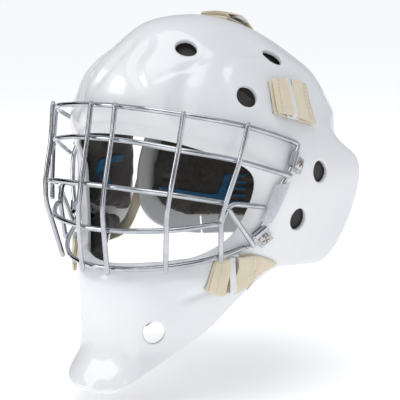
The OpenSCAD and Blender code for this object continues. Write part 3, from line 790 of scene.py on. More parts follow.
# %% Cage paths
BROW_RIM = [[0,-119.5,89], [33,-115,87.5], [62,-104,84], [81,-87,79.5], [92.5,-69,74.5], [101.5,-45,66.5]]
BROW = [[0,-124.5,64.5], [32,-120,63], [60,-109,58.5], [78,-92,54], [90,-74,49]]
EYES = [[0,-133,30], [32,-129,29], [58.5,-118,26.5], [73,-102,22.5], [83,-84,18]]
MOUTH = [[0,-135.5,-3], [32,-130,-2], [55,-117.5,-1], [70,-101.5,0.5], [80,-87.5,2]]
LOWER = [[0,-131.5,-33.5], [28,-125,-33], [49,-110.5,-31], [64,-95,-28.5], [76,-77.5,-25]]
SIDE = [[4.36, 3.5], [4.43, 3.18], [4.65, 2.38], [4.8, 1.92], [5.03, 1.6], [5.4, 1.45],
        [5.8, 1.44], [6.2, 1.4], [6.57, 1.3], [6.96, 1.42]]


def mirror_path(half):
    """The whole of a cross wire, from its left half."""
    half = [np.asarray(p, float) for p in half]
    return [p * (-1, 1, 1) for p in half[:0:-1]] + half


WIRE_D, WIRE_LIFT = 4.0, 3.6
side_run = [skin.over(t, s, WIRE_LIFT) for t, s in SIDE]
brow_end = skin.over(4.82, 2.0, WIRE_LIFT + WIRE_D)
lower_end = skin.over(7.02, 1.2, WIRE_LIFT)
hook_joint, hook_knee = np.array([84, -76.5, 16.5]), np.array([80.5, -84, 4.5])
BARS_TABLE = [
  [[11.8,-123,90.5], [11.8,-128,64.5], [11.6,-136.5,30],
   [11.8,-139.6,12], [12.4,-138.8,-3], [12.2,-135,-37]],
  [[63.9,-108.1,86], [62.3,-112.8,59], [61.2,-121.8,27],
   [59.5,-123.6,10.5], [57.4,-121,-1], [51,-114,-34.5]],
  [[95.3,-70.4,76.3], [92.6,-77.4,49], [86.4,-86.7,18], [83.6,-89.6,5]]
]
hook = rounded([skin.over(5.8, 0.97, WIRE_LIFT), hook_joint, hook_knee, [78, -80.5, -28.5]], 6)
brace = rounded([hook_joint + (0, -3, -3.5), skin.over(6.9, 1.47, WIRE_LIFT + WIRE_D)], 1)
wires = {
    "cage_rim_wire": (rounded(mirror_path(BROW_RIM + side_run), 7), 1),
    "cage_brow_wire": (rounded(mirror_path(BROW + [brow_end]), 10), 1),
    "cage_eye_wire": (curve(mirror_path(EYES)), 1),
    "cage_mouth_wire": (curve(mirror_path(MOUTH)), 1),
    "cage_lower_wire": (rounded(mirror_path(LOWER + [lower_end]), 12), 1),
}
for number, (bar, side) in enumerate(((2, -1), (1, -1), (0, -1), (0, 1), (1, 1), (2, 1)), 1):
    wires[f"cage_bar_{number}"] = (rounded(BARS_TABLE[bar], 7), side)
for word, side in SIDES:
    wires["cage_hook_" + word] = (hook, side)
    wires["cage_brace_" + word] = (brace, side)
print("wires:", len(wires), " longest:", max(int(np.linalg.norm(np.diff(p, axis=0), axis=1).sum())
                                             for p, _ in wires.values()), "mm")


# %% Crossings and wires
def crossings(path, others):
    """Points where this path comes within a wire's width of another."""
    spots = []
    for other in others:
        d = np.linalg.norm(path[:, None] - other[None], axis=-1)
        i, j = np.unravel_index(d.argmin(), d.shape)
        while d[i, j] < WIRE_D * 1.1 and len(spots) < 40:
            spots.append((path[i] + other[j]) / 2)
            away = np.linalg.norm(path - path[i], axis=1) > 20
            if not away.any():
                break
            d = np.where(away[:, None], d, 1e3)
            i, j = np.unravel_index(d.argmin(), d.shape)
    return spots


def trimmed(path, by=1.5):
    """The path drawn back at both ends, to leave room for the domes."""
    path = np.array(path, float)
    path[0] += by * unit(path[1] - path[0])
    path[-1] += by * unit(path[-2] - path[-1])
    return path


def finely(path, side):
    """The path on its own side, with a point each millimetre or so."""
    dense = [path[0]]
    for a, b in zip(path, path[1:]):
        steps = max(int(np.linalg.norm(b - a)), 1)
        dense += [a + (b - a) * k / steps for k in range(1, steps + 1)]
    return np.array(dense) * (side, 1, 1)


fine = {name: finely(path, side) for name, (path, side) in wires.items()}
for place, (name, (path, side)) in enumerate(wires.items()):
    later = [fine[other] for other in list(wires)[place + 1:]]
    beads = point_object(crossings(fine[name], later) or [path[0] * (side, 1, 1)])
    wire = grown(name + "_drawn", path_object([trimmed(path)], side), WIRES, radius=WIRE_D / 2 * MM,
                 spacing=1.6 * MM, beads=beads, finish=chrome.material)
    bpy.data.objects.remove(beads)
    settle(wire, SHELL, chrome, "cage", name)

# %% [markdown]
# Steel straps fold round the side wires and go under the screw heads. A strap like this is
# stamped from sheet, so it is drawn here as the section it is folded to, given its width,
# and its edges are broken with a small bevel.

# %% Clips
def axes_at(at, toward):
    """Origin, X towards a point in the skin, Y across and Z out of the skin."""
    p, n = skin.over(*at, 0.0), skin.outward(*at)
    ahead = toward - p
    ahead = unit(ahead - (ahead @ n) * n)
    return p, ahead, np.cross(n, ahead), n


def clip(at, wire_at):
    """Folded clip, as a strip of section points along its width."""
    near = skin.over(*wire_at, WIRE_LIFT)
    p, x, y, z = axes_at(at, near)
    reach, r, low, high = (near - p) @ x, WIRE_D / 2 + 0.15, 0.9, 2.3
    outer = [(-6.2, low), (-6.2, high)]
    turn = np.radians(np.linspace(150, -170, 22))
    wrap_out = [(reach + (r + 1.2) * math.cos(a), WIRE_LIFT + (r + 1.2) * math.sin(a)) for a in turn]
    wrap_in = [(reach + r * math.cos(a), WIRE_LIFT + r * math.sin(a)) for a in turn[::-1]]
    outer += [(reach - r - 3.2, high + 0.1)] + wrap_out
    outer += wrap_in[:1] + [(q[0], q[1]) for q in wrap_in[1:]] + [(reach - r - 2.4, low)]
    return [[p + u * x + v * y + w * z for u, w in outer] for v in (-6, -2, 2, 6)]


CLIP_WIRE = [[4.55, 2.65], [6.5, 1.3]]
clip_parts = []
for at, wire_at in zip(SCREWS, CLIP_WIRE):
    strip = np.array(clip(at, wire_at))
    left_points, left_faces = tube(strip)
    clip_parts.append((left_points, left_faces))
    clip_parts.append((left_points * (-1, 1, 1), [face[::-1] for face in left_faces]))
points, faces = joined(clip_parts)
clips = mesh_of("cage_clips_folded", points, faces, crease=40)
clips.data.validate()
bevel = clips.modifiers.new("broken edges", "BEVEL")
bevel.width, bevel.segments, bevel.limit_method = 0.25 * MM, 2, "ANGLE"
settle(clips, SHELL, chrome, "cage", "cage_clips")
print("clips:", len(points), "points")

# %% [markdown]
# The screws are pan heads with a cross recess, and the back guard hangs on domed rivets.
# Each shape is turned once, as rings about its axis, and a tree sets it on every seat.

# %% Screw and rivet heads
def turned(profile, sides=40, recess=None):
    """Solid of revolution from (radius, height) pairs, with an optional change of height."""
    angle = np.arange(sides) * 2 * math.pi / sides
    rings = [[(r * math.cos(a), r * math.sin(a), z) for a in angle] for r, z in profile]
    rings = np.array(rings)
    if recess:
        rings[..., 2] -= recess(rings[..., 0], rings[..., 1], rings[..., 2])
    return tube(rings)


def cross_recess(x, y, z):
    """A four-winged driver recess that gets shallower outwards."""
    wings = np.minimum(np.abs(x), np.abs(y)) < 0.55
    r = np.hypot(x, y)
    return np.where((wings | (r < 0.9)) & (r < 3.1) & (z > 1.5), 2.0 * (1 - r / 4.4), 0)


HEAD_R, HEAD_H = 4.75, 3.4
dome = [(HEAD_R * f, 1.3 + (HEAD_H - 1.3) * (1 - f ** 2.6)) for f in np.linspace(0.999, 0.012, 26)]
screw_profile = [(0.05, -0.1), (HEAD_R - 0.2, -0.1), (HEAD_R, 0.1), (HEAD_R, 1.2)] + dome
screw_points, screw_faces = turned(screw_profile, 64, cross_recess)
rivet_profile = [(0.05, -0.1), (4.3, -0.1), (4.5, 0.1)]
rivet_profile += [(4.5 * math.cos(a), 0.1 + 1.5 * math.sin(a)) for a in np.radians(np.linspace(8, 89, 12))]
rivet_points, rivet_faces = turned(rivet_profile, 32)


def fastened(name, shape, seats, normals, aheads, finish):
    """The shape set on each seat, as one mesh."""
    model = mesh_of("model", *shape, crease=30)
    thing = grown(name, point_object(seats, out_of_wall=normals, ahead=aheads), FASTENERS,
                  shape=model, finish=finish.material)
    bpy.data.objects.remove(model)
    return thing


seats, normals, aheads = [], [], []
for t, s in SCREWS:
    for side in (1, -1):
        flip = np.array([side, 1, 1])
        seats.append(skin.over(t, s, 2.3) * flip)
        normals.append(skin.outward(t, s) * flip)
        aheads.append((0.3 * side, -0.5, 0.8))
screws = fastened("cage_screw_heads", (screw_points, screw_faces), seats, normals, aheads, nickel)
settle(screws, SHELL, nickel, "hardware", "cage_screws")
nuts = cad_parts["cage_nuts"]
nuts.data.materials.clear()
nuts.data.materials.append(nickel.material)
print("screws:", len(seats))

# %% [markdown]
# A certification sticker is folded round the left side wire. It has no print here: only a
# thin film that takes the wire's shape, with a softly raised border.

# %% Label
LABEL = [[4.98, 1.66], [5.2, 1.51], [5.5, 1.44], [5.85, 1.44], [6.2, 1.4]]
middle = on_curve(LABEL, np.linspace(0, 4, 61))
across = np.linspace(-1, 1, 25)
sheet_t = np.repeat(middle[:, :1], 25, axis=1)
sheet_s = middle[:, 1:] + 0.38 * across[None]
bulge = WIRE_LIFT + 2.7 - 2.4 * np.abs(across) ** 3
film_top = skin.over(sheet_t, sheet_s, np.broadcast_to(bulge + 0.25, sheet_t.shape))
film_low = skin.over(sheet_t, sheet_s, np.broadcast_to(bulge - 0.05, sheet_t.shape))
n_rows = len(middle)
rings = [np.concatenate([film_top[k], film_low[k][::-1]]) for k in range(n_rows)]
points, faces = tube(rings)
label = mesh_of("label_sticker", points, faces, crease=50)
settle(label, SHELL, film, "label", "cage_label")
print("label:", round(float(np.linalg.norm(np.diff(film_top[:, 12], axis=0), axis=1).sum()), 1), "mm long")

# %% [markdown]
# ## Straps
# Each strap is one length of cream elastic: it comes out of a slot, lies on the shell,
# and its tail folds back over the buckle. The remeshing that cloth needs would eat such a
# thin strip, so a strap is swept directly: a flat section with soft edges, laid on the
# skin, with a height that rises over the buckle. Its UV map is in millimetres for the weave.

# %% Laying webbing on the skin
ELASTIC_T = 1.5
FLAT = np.array([0, 0.012, 0.05] + list(np.linspace(0.12, 0.88, 9)) + [0.95, 0.988, 1])
SOFT = np.sqrt(1 - (1 - np.minimum(np.minimum(FLAT, 1 - FLAT) / 0.05, 1)) ** 2)


def strap_place(strap, f, g):
    """Skin places at f of the way along a strap and g of the way across."""
    lines = np.array(strap, float)
    x = np.asarray(f, float) * (len(lines) - 1)
    line = on_curve(lines.reshape(len(lines), 4), x).reshape(-1, 2, 2)
    g = np.asarray(g, float)[None, :, None]
    return (1 - g) * line[:, None, 0] + g * line[:, None, 1]


def section(low_points, normals, thick):
    """Closed rings of a flat band: along its lower side, then back along its upper side."""
    half = thick / 2 * SOFT[None, :, None]
    centre = low_points + normals * thick / 2
    return np.concatenate([centre - normals * half, (centre + normals * half)[:, ::-1]], axis=1)


def millimetre_map(rings):
    """UV in mm: across the band and along it."""
    n, m = rings.shape[:2]
    across = np.r_[FLAT, FLAT[::-1]] * np.linalg.norm(rings[n // 2, m // 2 - 1] - rings[n // 2, 0])
    along = np.r_[0, np.cumsum(np.linalg.norm(np.diff(rings.mean(axis=1), axis=0), axis=1))]
    return np.stack(np.meshgrid(along, across, indexing="ij")[::-1], -1).reshape(-1, 2)


def webbing_band(strap, stops, thick=ELASTIC_T, steps=44):
    """A band through (f, height) stops along the strap, as rings."""
    path = curve(stops, max(steps // (len(stops) - 1), 4))
    places = strap_place(strap, path[:, 0], FLAT)
    t, s = places[..., 0], places[..., 1]
    low = skin.over(t, s, np.broadcast_to(path[:, 1:2], t.shape))
    ahead = np.gradient(low, axis=0)
    sideways = np.gradient(low, axis=1)
    up = unit(np.cross(unit(ahead), unit(sideways)))
    outward = skin.outward(t, s)
    up = up * np.sign(np.einsum("...i,...i", up, outward))[..., None]
    up = np.where(np.abs(np.einsum("...i,...i", up, outward))[..., None] > 0.35, up, outward)
    return section(low, up, thick)


def band_piece(name, bands, side, body, finish, slot, *nodes):
    """One webbing piece from several bands."""
    parts, maps = [], []
    for rings in bands:
        parts.append(tube(rings))
        maps.append(millimetre_map(rings))
    points, faces = joined(parts)
    thing = mesh_of(name, points, faces, side=side, uv=np.concatenate(maps), crease=50)
    bmesh_fix(thing)
    return settle(thing, body, finish, slot, *nodes)


def bmesh_fix(thing):
    """Turns every face outwards."""
    work = bmesh.new()
    work.from_mesh(thing.data)
    bmesh.ops.recalc_face_normals(work, faces=work.faces)
    work.to_mesh(thing.data)
    work.free()


def strap_bands(strap, bar, tail, reach=1.0):
    """The lower layer out of its slot, the folded front and the two parts of the tail."""
    lower = [(0.012, -6), (0.012, -3), (0.02, -0.4), (0.06, 0.5), (0.2, 0.6), (0.6, 0.6), (reach, 0.6)]
    front = [(0.10, 2.2), (0.06, 2.3), (0.04, 3.1), (0.055, 4.0), (0.10, 4.5),
             (bar - 0.11, 5.9), (bar - 0.06, 5.2)]
    back = [(bar + 0.06, 5.2), (bar + 0.11, 5.9), (bar + 0.5 * (tail - bar), 4.6),
            (tail - 0.04, 2.9), (tail, 2.8)]
    return [webbing_band(strap, lower), webbing_band(strap, front), webbing_band(strap, back)]


UPPER_BAR, JAW_BAR, TOP_BAR = 0.5, 0.33, 0.5
for word, side in SIDES:
    band_piece("upper_webbing_" + word, strap_bands(UPPER_STRAP, UPPER_BAR, 1.0), side, SHELL, webbing,
               "elastic", "upper_strap_" + word)
    band_piece("jaw_webbing_" + word, strap_bands(JAW_STRAP, JAW_BAR, 0.66), side, SHELL, webbing,
               "elastic", "jaw_strap_" + word)
band_piece("top_webbing", strap_bands(TOP_STRAP, TOP_BAR, 0.95), 1, SHELL, webbing, "elastic", "top_strap")
print("straps laid")

# %% [markdown]
# The buckles are moulded ladder slides: a rounded frame with a raised bar across it. Each
# rides its own body, because a buckle is what slides when the strap is let out.

# %% Slide buckles
def rounded_frame(length, width, corner, rise, thick, steps=8):
    """Rings round a rounded rectangle, each an oval section."""
    path = []
    for cx, cy, start in ((1, 1, 0), (-1, 1, 90), (-1, -1, 180), (1, -1, 270)):
        for a in np.radians(np.linspace(start, start + 90, steps)):
            path.append((cx * (length / 2 - corner) + corner * math.cos(a),
                         cy * (width / 2 - corner) + corner * math.sin(a), math.cos(a), math.sin(a)))
    turn = np.radians(np.arange(0, 360, 22.5))
    flat = lambda v: np.sign(v) * np.abs(v) ** 0.6
    return np.array([[(x + rise * flat(math.cos(a)) * nx, y + rise * flat(math.cos(a)) * ny,
                       thick / 2 + thick / 2 * flat(math.sin(a))) for a in turn] for x, y, nx, ny in path])


def buckle(name, node, strap, bar, width, side):
    q = strap_place(strap, [bar, bar + 0.05], [0.5])
    at, ahead = q[0, 0], q[1, 0]
    p, x, y, z = axes_at(at, skin.at(*ahead))
    p = p + 2.9 * z
    frame_rings = rounded_frame(13.6, width + 3.0, 2.2, 1.15, 1.8)
    turn = np.radians(np.arange(0, 360, 15))
    flat = lambda v: np.sign(v) * np.abs(v) ** 0.55
    bar_rings = np.array([[(2.7 * f * flat(math.cos(a)), v, 3.2 + 1.1 * f * flat(math.sin(a)) + drop)
                           for a in turn]
                          for v, f, drop in ((-width / 2 - 1.6, 0.7, -1.6), (-width / 2 - 1.3, 0.9, -0.9),
                                             (-width / 2 - 0.2, 1, 0), (0, 1, 0), (width / 2 + 0.2, 1, 0),
                                             (width / 2 + 1.3, 0.9, -0.9), (width / 2 + 1.6, 0.7, -1.6))])
    points, faces = joined([tube(frame_rings, closed=True), tube(bar_rings)])
    points = p + points[:, :1] * x + points[:, 1:2] * y + points[:, 2:] * z
    thing = mesh_of(name, points, faces, side=side, crease=50)
    bmesh_fix(thing)
    settle(thing, node + "_body", moulded, "buckle", node)


for word, side in SIDES:
    buckle("upper_slide_" + word, "upper_buckle_" + word, UPPER_STRAP, UPPER_BAR, 28, side)
    buckle("jaw_slide_" + word, "jaw_buckle_" + word, JAW_STRAP, JAW_BAR, 26, side)
buckle("top_slide", "top_buckle", TOP_STRAP, TOP_BAR, 25, 1)

# %% [markdown]
# ## The back guard
# A moulded plate covers the back of the head. It hangs on three runs of elastic, which
# bend when the guard is swung up; here each run is one fixed mesh, attached to neither body.

# %% Back plate
GUARD_A, GUARD_B, GUARD_T, GUARD_TOP = 84, 106, 3.0, 92
PLATE = [[-46,46], [-43,60], [-36,74], [-24,84], [-5,88], [20,86], [45,80], [70,72], [92,60], [110,48]]


def on_guard(b, z, g=0.0):
    """Point at bearing b from the rear and height z, g outside the guard's outer face."""
    b, z, g = np.radians(b), np.asarray(z, float), np.asarray(g, float)
    up, down = np.maximum(z - 50, 0) / (GUARD_TOP + g), np.maximum(50 - z, 0) / 96
    r = np.where(z > 50, np.sqrt(np.maximum(0, 1 - up ** 2)), 1 - 0.14 * down ** 2)
    return np.stack([(GUARD_A + g) * r * np.sin(b), 14 + (GUARD_B + g) * r * np.cos(b), z + 0 * b], -1)


def guard_normal(b, z, e=0.05):
    return unit(np.cross(on_guard(b, z + e) - on_guard(b, z - e), on_guard(b + e, z) - on_guard(b - e, z)))


def guard_sheet(rows):
    """Surface over (u from -1 to 1, k along the rows): u=1 is the wearer's left edge."""
    def place(u, k):
        at = on_curve(rows, k)
        return at[..., 1] * u, at[..., 0]
    return place


plate_place = guard_sheet(PLATE)
plate_at = lambda u, k: on_guard(*plate_place(u, k))
U, K = np.meshgrid(np.linspace(1, -1, 161), np.linspace(0, len(PLATE) - 1, 100), indexing="ij")
guard_holes = [Hole(on_guard(b, -39.0), guard_normal(b, -39.0), (0, 0, 1), 1.8, 7.5) for b in (48.0, -48.0)]
for b, z in ((22.0, 70.0), (44.0, 62.0), (20.0, 26.0), (44.0, 22.0), (22.0, -14.0)):
    for side in (1, -1):
        guard_holes.append(Hole(on_guard(b * side, z), guard_normal(b * side, z),
                                (0.5 * side, 0, 0.85), 4.0, 6.0))
U, K, plate_faces = cut_grid(plate_at, U, K, guard_holes)
B, Z = plate_place(U, K)
base, up = on_guard(B, Z), guard_normal(B, Z)
ribs = 1.4 * np.exp(-((np.abs(B) - 33 + 0.12 * (Z - 30)) / 3.2) ** 2)
ribs = ribs * ramp(Z, -30, -15) * ramp(-Z, -98, -80)
ribs += 1.4 * np.exp(-((Z - 4 - 0.10 * np.abs(B)) / 3.5) ** 2) * ramp(86 - np.abs(B), 4, 16)
raised = base + ribs[..., None] * up
points, faces, inner = wall(raised.reshape(-1, 3), up.reshape(-1, 3), plate_faces, GUARD_T, 0.9)
plate = mesh_of("guard_plate", points, faces)
bmesh_fix(plate)
settle(plate, GUARD, guard_plastic, "back_plate", "back_plate")
RIVETS = [[0, 104], [58, 82], [-58, 82], [63, -8], [-63, -8]]
rivet_at = [on_guard(float(b), float(z), 2.6) for b, z in RIVETS]
rivet_up = [guard_normal(float(b), float(z)) for b, z in RIVETS]
inner_at = [p - n * 8.2 for p, n in zip(rivet_at, rivet_up)]
rivets = fastened("guard_rivets", (rivet_points, rivet_faces), rivet_at + inner_at,
                  rivet_up + [-n for n in rivet_up], [(0, 0, 1)] * 10, nickel)
settle(rivets, GUARD, nickel, "hardware", "plate_rivets")
print("guard plate:", len(faces), "faces,", len(guard_holes), "openings")

# %% [markdown]
# The runs follow the CAD's guide lines from under the shell to the plate's outer face.

# %% Runs of elastic
def run_rings(one, other):
    a, b = curve(one, 8), curve(other, 8)
    across = FLAT[None, :, None]
    low = a[:, None] * (1 - across) + b[:, None] * across
    up = unit(np.cross(unit(np.gradient(low, axis=0)), unit(np.gradient(low, axis=1))))
    return section(low - up * 0.6, up, 1.2)


UNDER = -SHELL_T - 2.4


def run_piece(name, node, one, other, side):
    rings = run_rings(one, other)
    points, faces = tube(rings)
    thing = mesh_of(name, points, faces, side=side, uv=millimetre_map(rings), crease=50)
    bmesh_fix(thing)
    thing.data.materials.append(webbing.material)
    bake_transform(thing)
    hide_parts(node)


for word, side in SIDES:
    run_piece("upper_elastic_" + word, "upper_run_" + word,
              [skin.over(3.36, 4.8, UNDER), skin.over(3.24, 5.6, UNDER - 1), skin.over(3.26, 6.4, UNDER - 3),
               on_guard(70, 92, 4.5), on_guard(60, 93, 3), on_guard(52, 93, 2.4)],
              [skin.over(3.8, 4.3, UNDER), skin.over(3.8, 5.2, UNDER - 1), skin.over(3.86, 6, UNDER - 3),
               on_guard(76, 70, 4.5), on_guard(64, 70, 2.4), on_guard(54, 70, 1.6)],
              side)
    run_piece("jaw_elastic_" + word, "jaw_run_" + word,
              [skin.over(7.45, 6.2, UNDER - 3), [89, 15, -20], on_guard(84, 12, 3), on_guard(72, 8, 2),
               on_guard(58, 0, 1.6)],
              [skin.over(8.2, 6.6, UNDER - 3), [83, 10, -34], on_guard(82, -10, 3), on_guard(72, -14, 2),
               on_guard(58, -22, 1.6)],
              side)
flat_end = [[-12.5, 82, 114.5], [-12.5, 93, 111.6], [-12.5, 99.5, 108.8]]
run_piece("top_elastic", "top_run",
          [skin.over(-0.32, 6, UNDER), skin.over(-0.3, 6.5, UNDER)] + flat_end
          + [on_guard(-9, 104, 4), on_guard(-8, 94, 3)],
          [skin.over(0.32, 6, UNDER), skin.over(0.3, 6.5, UNDER)] + [[-x, y, z] for x, y, z in flat_end]
          + [on_guard(9, 104, 4), on_guard(8, 94, 3)], 1)

# %% [markdown]
# ## Foam pads
# The liner pads are foam under a thin skin: crowned, with sides that pull in to their
# corners. A short cloth simulation with pressure inside gives that shape, starting from
# each CAD pad drawn in a little, and the movement is capped so that no pad grows into the
# shell or the head. Sewn and pressed channels come after it, as moves of the finished mesh.

# %% Puffing a pad
def puffed(name, node, draw_in, cap_mm, voxel=4.0):
    """A copy of the CAD pad, swollen like stuffed foam."""
    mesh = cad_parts[node].data.copy()
    thing = bpy.data.objects.new(name, mesh)
    bpy.context.scene.collection.objects.link(thing)
    work = bmesh.new()
    work.from_mesh(mesh)
    bmesh.ops.remove_doubles(work, verts=work.verts, dist=1e-5)
    work.normal_update()
    for v in work.verts:
        v.co -= v.normal * draw_in * MM
    work.to_mesh(mesh)
    work.free()
    remesh = thing.modifiers.new("even", "REMESH")
    remesh.mode, remesh.voxel_size = "VOXEL", voxel * MM
    smooth = thing.modifiers.new("soft", "SMOOTH")
    smooth.factor, smooth.iterations = 0.5, 1
    bpy.context.view_layer.update()
    even = bpy.data.meshes.new_from_object(thing.evaluated_get(bpy.context.evaluated_depsgraph_get()))
    thing.modifiers.clear()
    thing.data = even
    rest = np.empty(len(even.vertices) * 3, np.float32)
    even.vertices.foreach_get("co", rest)
    cloth = thing.modifiers.new("cloth", "CLOTH")
    cloth.settings.use_pressure = True
    cloth.settings.uniform_pressure_force = 4
    cloth.settings.effector_weights.gravity = 0
    cloth.settings.quality = 5
    cloth.point_cache.frame_start, cloth.point_cache.frame_end = 1, 20
    for step in range(1, 21):
        bpy.context.scene.frame_set(step)
    evaluated = thing.evaluated_get(bpy.context.evaluated_depsgraph_get())
    swollen = np.empty(len(even.vertices) * 3, np.float32)
    evaluated.data.vertices.foreach_get("co", swollen)
    thing.modifiers.clear()
    bpy.context.scene.frame_set(1)
    move = (swollen - rest).reshape(-1, 3)
    length = np.linalg.norm(move, axis=1, keepdims=True)
    cap = cap_mm * MM
    move *= cap * np.tanh(length / cap) / np.maximum(length, 1e-9)
    rest = (rest.reshape(-1, 3) + move).ravel()
    even.vertices.foreach_set("co", rest)
    finer = thing.modifiers.new("finer", "SUBSURF")
    finer.levels = finer.render_levels = 2
    bpy.context.view_layer.update()
    done = bpy.data.meshes.new_from_object(thing.evaluated_get(bpy.context.evaluated_depsgraph_get()))
    thing.modifiers.clear()
    thing.data = done
    done.shade_smooth()
    return thing


def pressed(thing, lines, depth, width):
    """Channels pressed into the pad along lines of points in mm."""
    mesh = thing.data
    co = np.empty(len(mesh.vertices) * 3, np.float32)
    no = np.empty(len(mesh.vertices) * 3, np.float32)
    mesh.vertices.foreach_get("co", co)
    mesh.vertex_normals.foreach_get("vector", no)
    co, no = co.reshape(-1, 3), no.reshape(-1, 3)
    sink = np.zeros(len(co))
    for line in lines:
        d = np.full(len(co), 1e9)
        for q in curve(line, 12):
            d = np.minimum(d, np.linalg.norm(co / MM - q, axis=1))
        sink = np.maximum(sink, depth * np.exp(-(d / width) ** 2))
    mesh.vertices.foreach_set("co", (co - no * sink[:, None] * MM).ravel())
    mesh.update()
    return thing


def skin_line(stops, depth):
    """A line on a pad's inner face, through (t, s) places."""
    path = curve(stops, 6)
    return skin.over(path[:, 0], path[:, 1], np.full(len(path), -depth))


ring_t, ring_s = np.meshgrid(np.linspace(0, 26, 520, endpoint=False), np.linspace(-0.1, 7, 110),
                             indexing="ij")
ring_out = skin.outward(ring_t, ring_s)
ring_face = skin.over(ring_t, ring_s, np.zeros(ring_t.shape))
ring_face = ring_face + ring_out * (relief(ring_face, ring_out) - SHELL_T)[..., None]
ring_out, ring_face = ring_out.reshape(-1, 3), ring_face.reshape(-1, 3)
lining = KDTree(len(ring_face))
for k, p in enumerate(ring_face):
    lining.insert(Vector(p), k)
lining.balance()


def behind_shell(thing, gap=0.8):
    """Press the foam's outer face in wherever the shell's inner face would meet it."""
    for v in thing.data.vertices:
        place, k, apart = lining.find(v.co / MM)
        rise = float(np.dot(np.array(v.co) / MM - ring_face[k], ring_out[k]))
        if apart < 9 and rise > -gap:
            v.co -= Vector(ring_out[k]) * (rise + gap) * MM


def lipped(thing, side, stops=(6.9, 9.6), forward=6.0, deeper=3.0, reach=16.0):
    """Let the foam's front edge swell past the rim of the face opening."""
    t = np.linspace(*stops, 40)
    rim = skin.over(t, np.full(40, 0.3), np.full(40, -SHELL_T - 8.0)) * (side, 1, 1)
    out = skin.outward(t, np.full(40, 0.3)) * (side, 1, 1)
    edge, behind = (skin.over(t, np.full(40, s), np.zeros(40)) for s in (0.0, 0.6))
    ahead = unit(edge - behind) * (side, 1, 1)
    for v in thing.data.vertices:
        gaps = np.linalg.norm(rim - np.array(v.co) / MM, axis=1)
        k = int(gaps.argmin())
        share = float(ramp(1 - gaps[k] / reach, 0, 0.8))
        v.co += Vector((ahead[k] * forward - out[k] * deeper) * share * MM)


def pad(name, node, slot_body, lines, side=1, lip=False, **shape):
    thing = puffed(name, node, **shape)
    if lip:
        lipped(thing, side)
    if slot_body == SHELL:
        behind_shell(thing)
    if lines:
        pressed(thing, [np.asarray(line) * (side, 1, 1) for line in lines], 2.2, 2.6)
    settle(thing, slot_body, foam_skin, "foam", node)
    return thing


INNER = SHELL_T + 0.8 + 12
pad("forehead_foam", "forehead_pad", SHELL,
    [skin_line([[t, 0.5], [t, 3.0]], 14.8) for t in (-2.2, -1.1, 0, 1.1, 2.2)], draw_in=0.7, cap_mm=4)
pad("crown_foam", "crown_pad", SHELL,
    [skin_line([[t, 3.8], [t, 6.0]], 19.6) for t in (-1.0, 1.0)], draw_in=0.7, cap_mm=4)
pad("chin_foam", "chin_cup", SHELL,
    [skin_line([[t, 1.4], [t, 4.2]], INNER) for t in (11.6, 14.4)], draw_in=0.7, cap_mm=4)
for word, side in SIDES:
    pad("temple_foam_" + word, "temple_pad_" + word, SHELL,
        [skin_line([[4.3, 3.2], [5.4, 3.3], [6.4, 3.0]], INNER), skin_line([[5.6, 1.4], [5.5, 3.3]], INNER)],
        side=side, draw_in=0.7, cap_mm=4)
    pad("jaw_foam_" + word, "jaw_pad_" + word, SHELL,
        [skin_line([[6.8, 2.6], [7.8, 2.8], [8.8, 3.0]], INNER + 1)], side=side, lip=True,
        draw_in=0.7, cap_mm=4)


def guard_line(stops, depth):
    """A line on the back pad's inner face, through (bearing, height) places."""
    path = curve(stops, 6)
    return on_guard(path[:, 0], path[:, 1], np.full(len(path), -depth))


back_lines = [guard_line([[b, -26], [b * 0.95, 20], [b * 0.8, 90]], GUARD_T + 13)
              for b in (-56, -26, 26, 56)]
back_lines += [guard_line([[-78, 8], [-40, 2], [0, 0], [40, 2], [78, 8]], GUARD_T + 13),
               guard_line([[-60, 62], [0, 58], [60, 62]], GUARD_T + 13)]
pad("back_foam", "back_pad", GUARD, back_lines, draw_in=0.7, cap_mm=4)

# %% [markdown]
# ## Trims and stitching
# Moulded blue trims are glued on the pads, and thread shows where webbing is sewn. A trim
# has to lie on the swollen foam and not on the CAD's flat face, so its points are found by
# casting rays from the head's side onto the finished pad.

# %% Laying a trim on a finished pad


def laid_on(pad_name, start, way):
    """Points in mm where rays from the head's side meet the pad."""
    mesh = bpy.data.objects[pad_name].data
    faces = BVHTree.FromPolygons([v.co for v in mesh.vertices], [tuple(p.vertices) for p in mesh.polygons])
    flat, met = start.reshape(-1, 3), []
    for p, d in zip(flat, way.reshape(-1, 3)):
        hit = faces.ray_cast(Vector(p * MM), Vector(d), 60 * MM)[0]
        met.append(np.array(hit) / MM if hit else p + d * 24)
    return np.array(met).reshape(start.shape)


def trim_band(pad_name, one, other, surface, thick=1.5):
    """Rings of a band between two guide lines, given as places on the surface, on the pad."""
    one, other = curve(one, 8), curve(other, 8)
    places = one[:, None] * (1 - FLAT[None, :, None]) + other[:, None] * FLAT[None, :, None]
    inside_point, way = surface(places[..., 0], places[..., 1])
    low = laid_on(pad_name, inside_point, way)
    return section(low + way * thick * 0.35, -way, thick)


def guard_side(b, z):
    return on_guard(b, z, np.full(np.shape(b), -45.0)), guard_normal(b, z)


def shell_side(t, s):
    return skin.over(t, s, np.full(np.shape(t), -45.0)), skin.outward(t, s)


def trim_piece(name, bands, side, body, finish, slot, *nodes):
    points, faces = joined([tube(rings) for rings in bands])
    thing = mesh_of(name, points, faces, side=side, crease=55)
    bmesh_fix(thing)
    return settle(thing, body, finish, slot, *nodes)


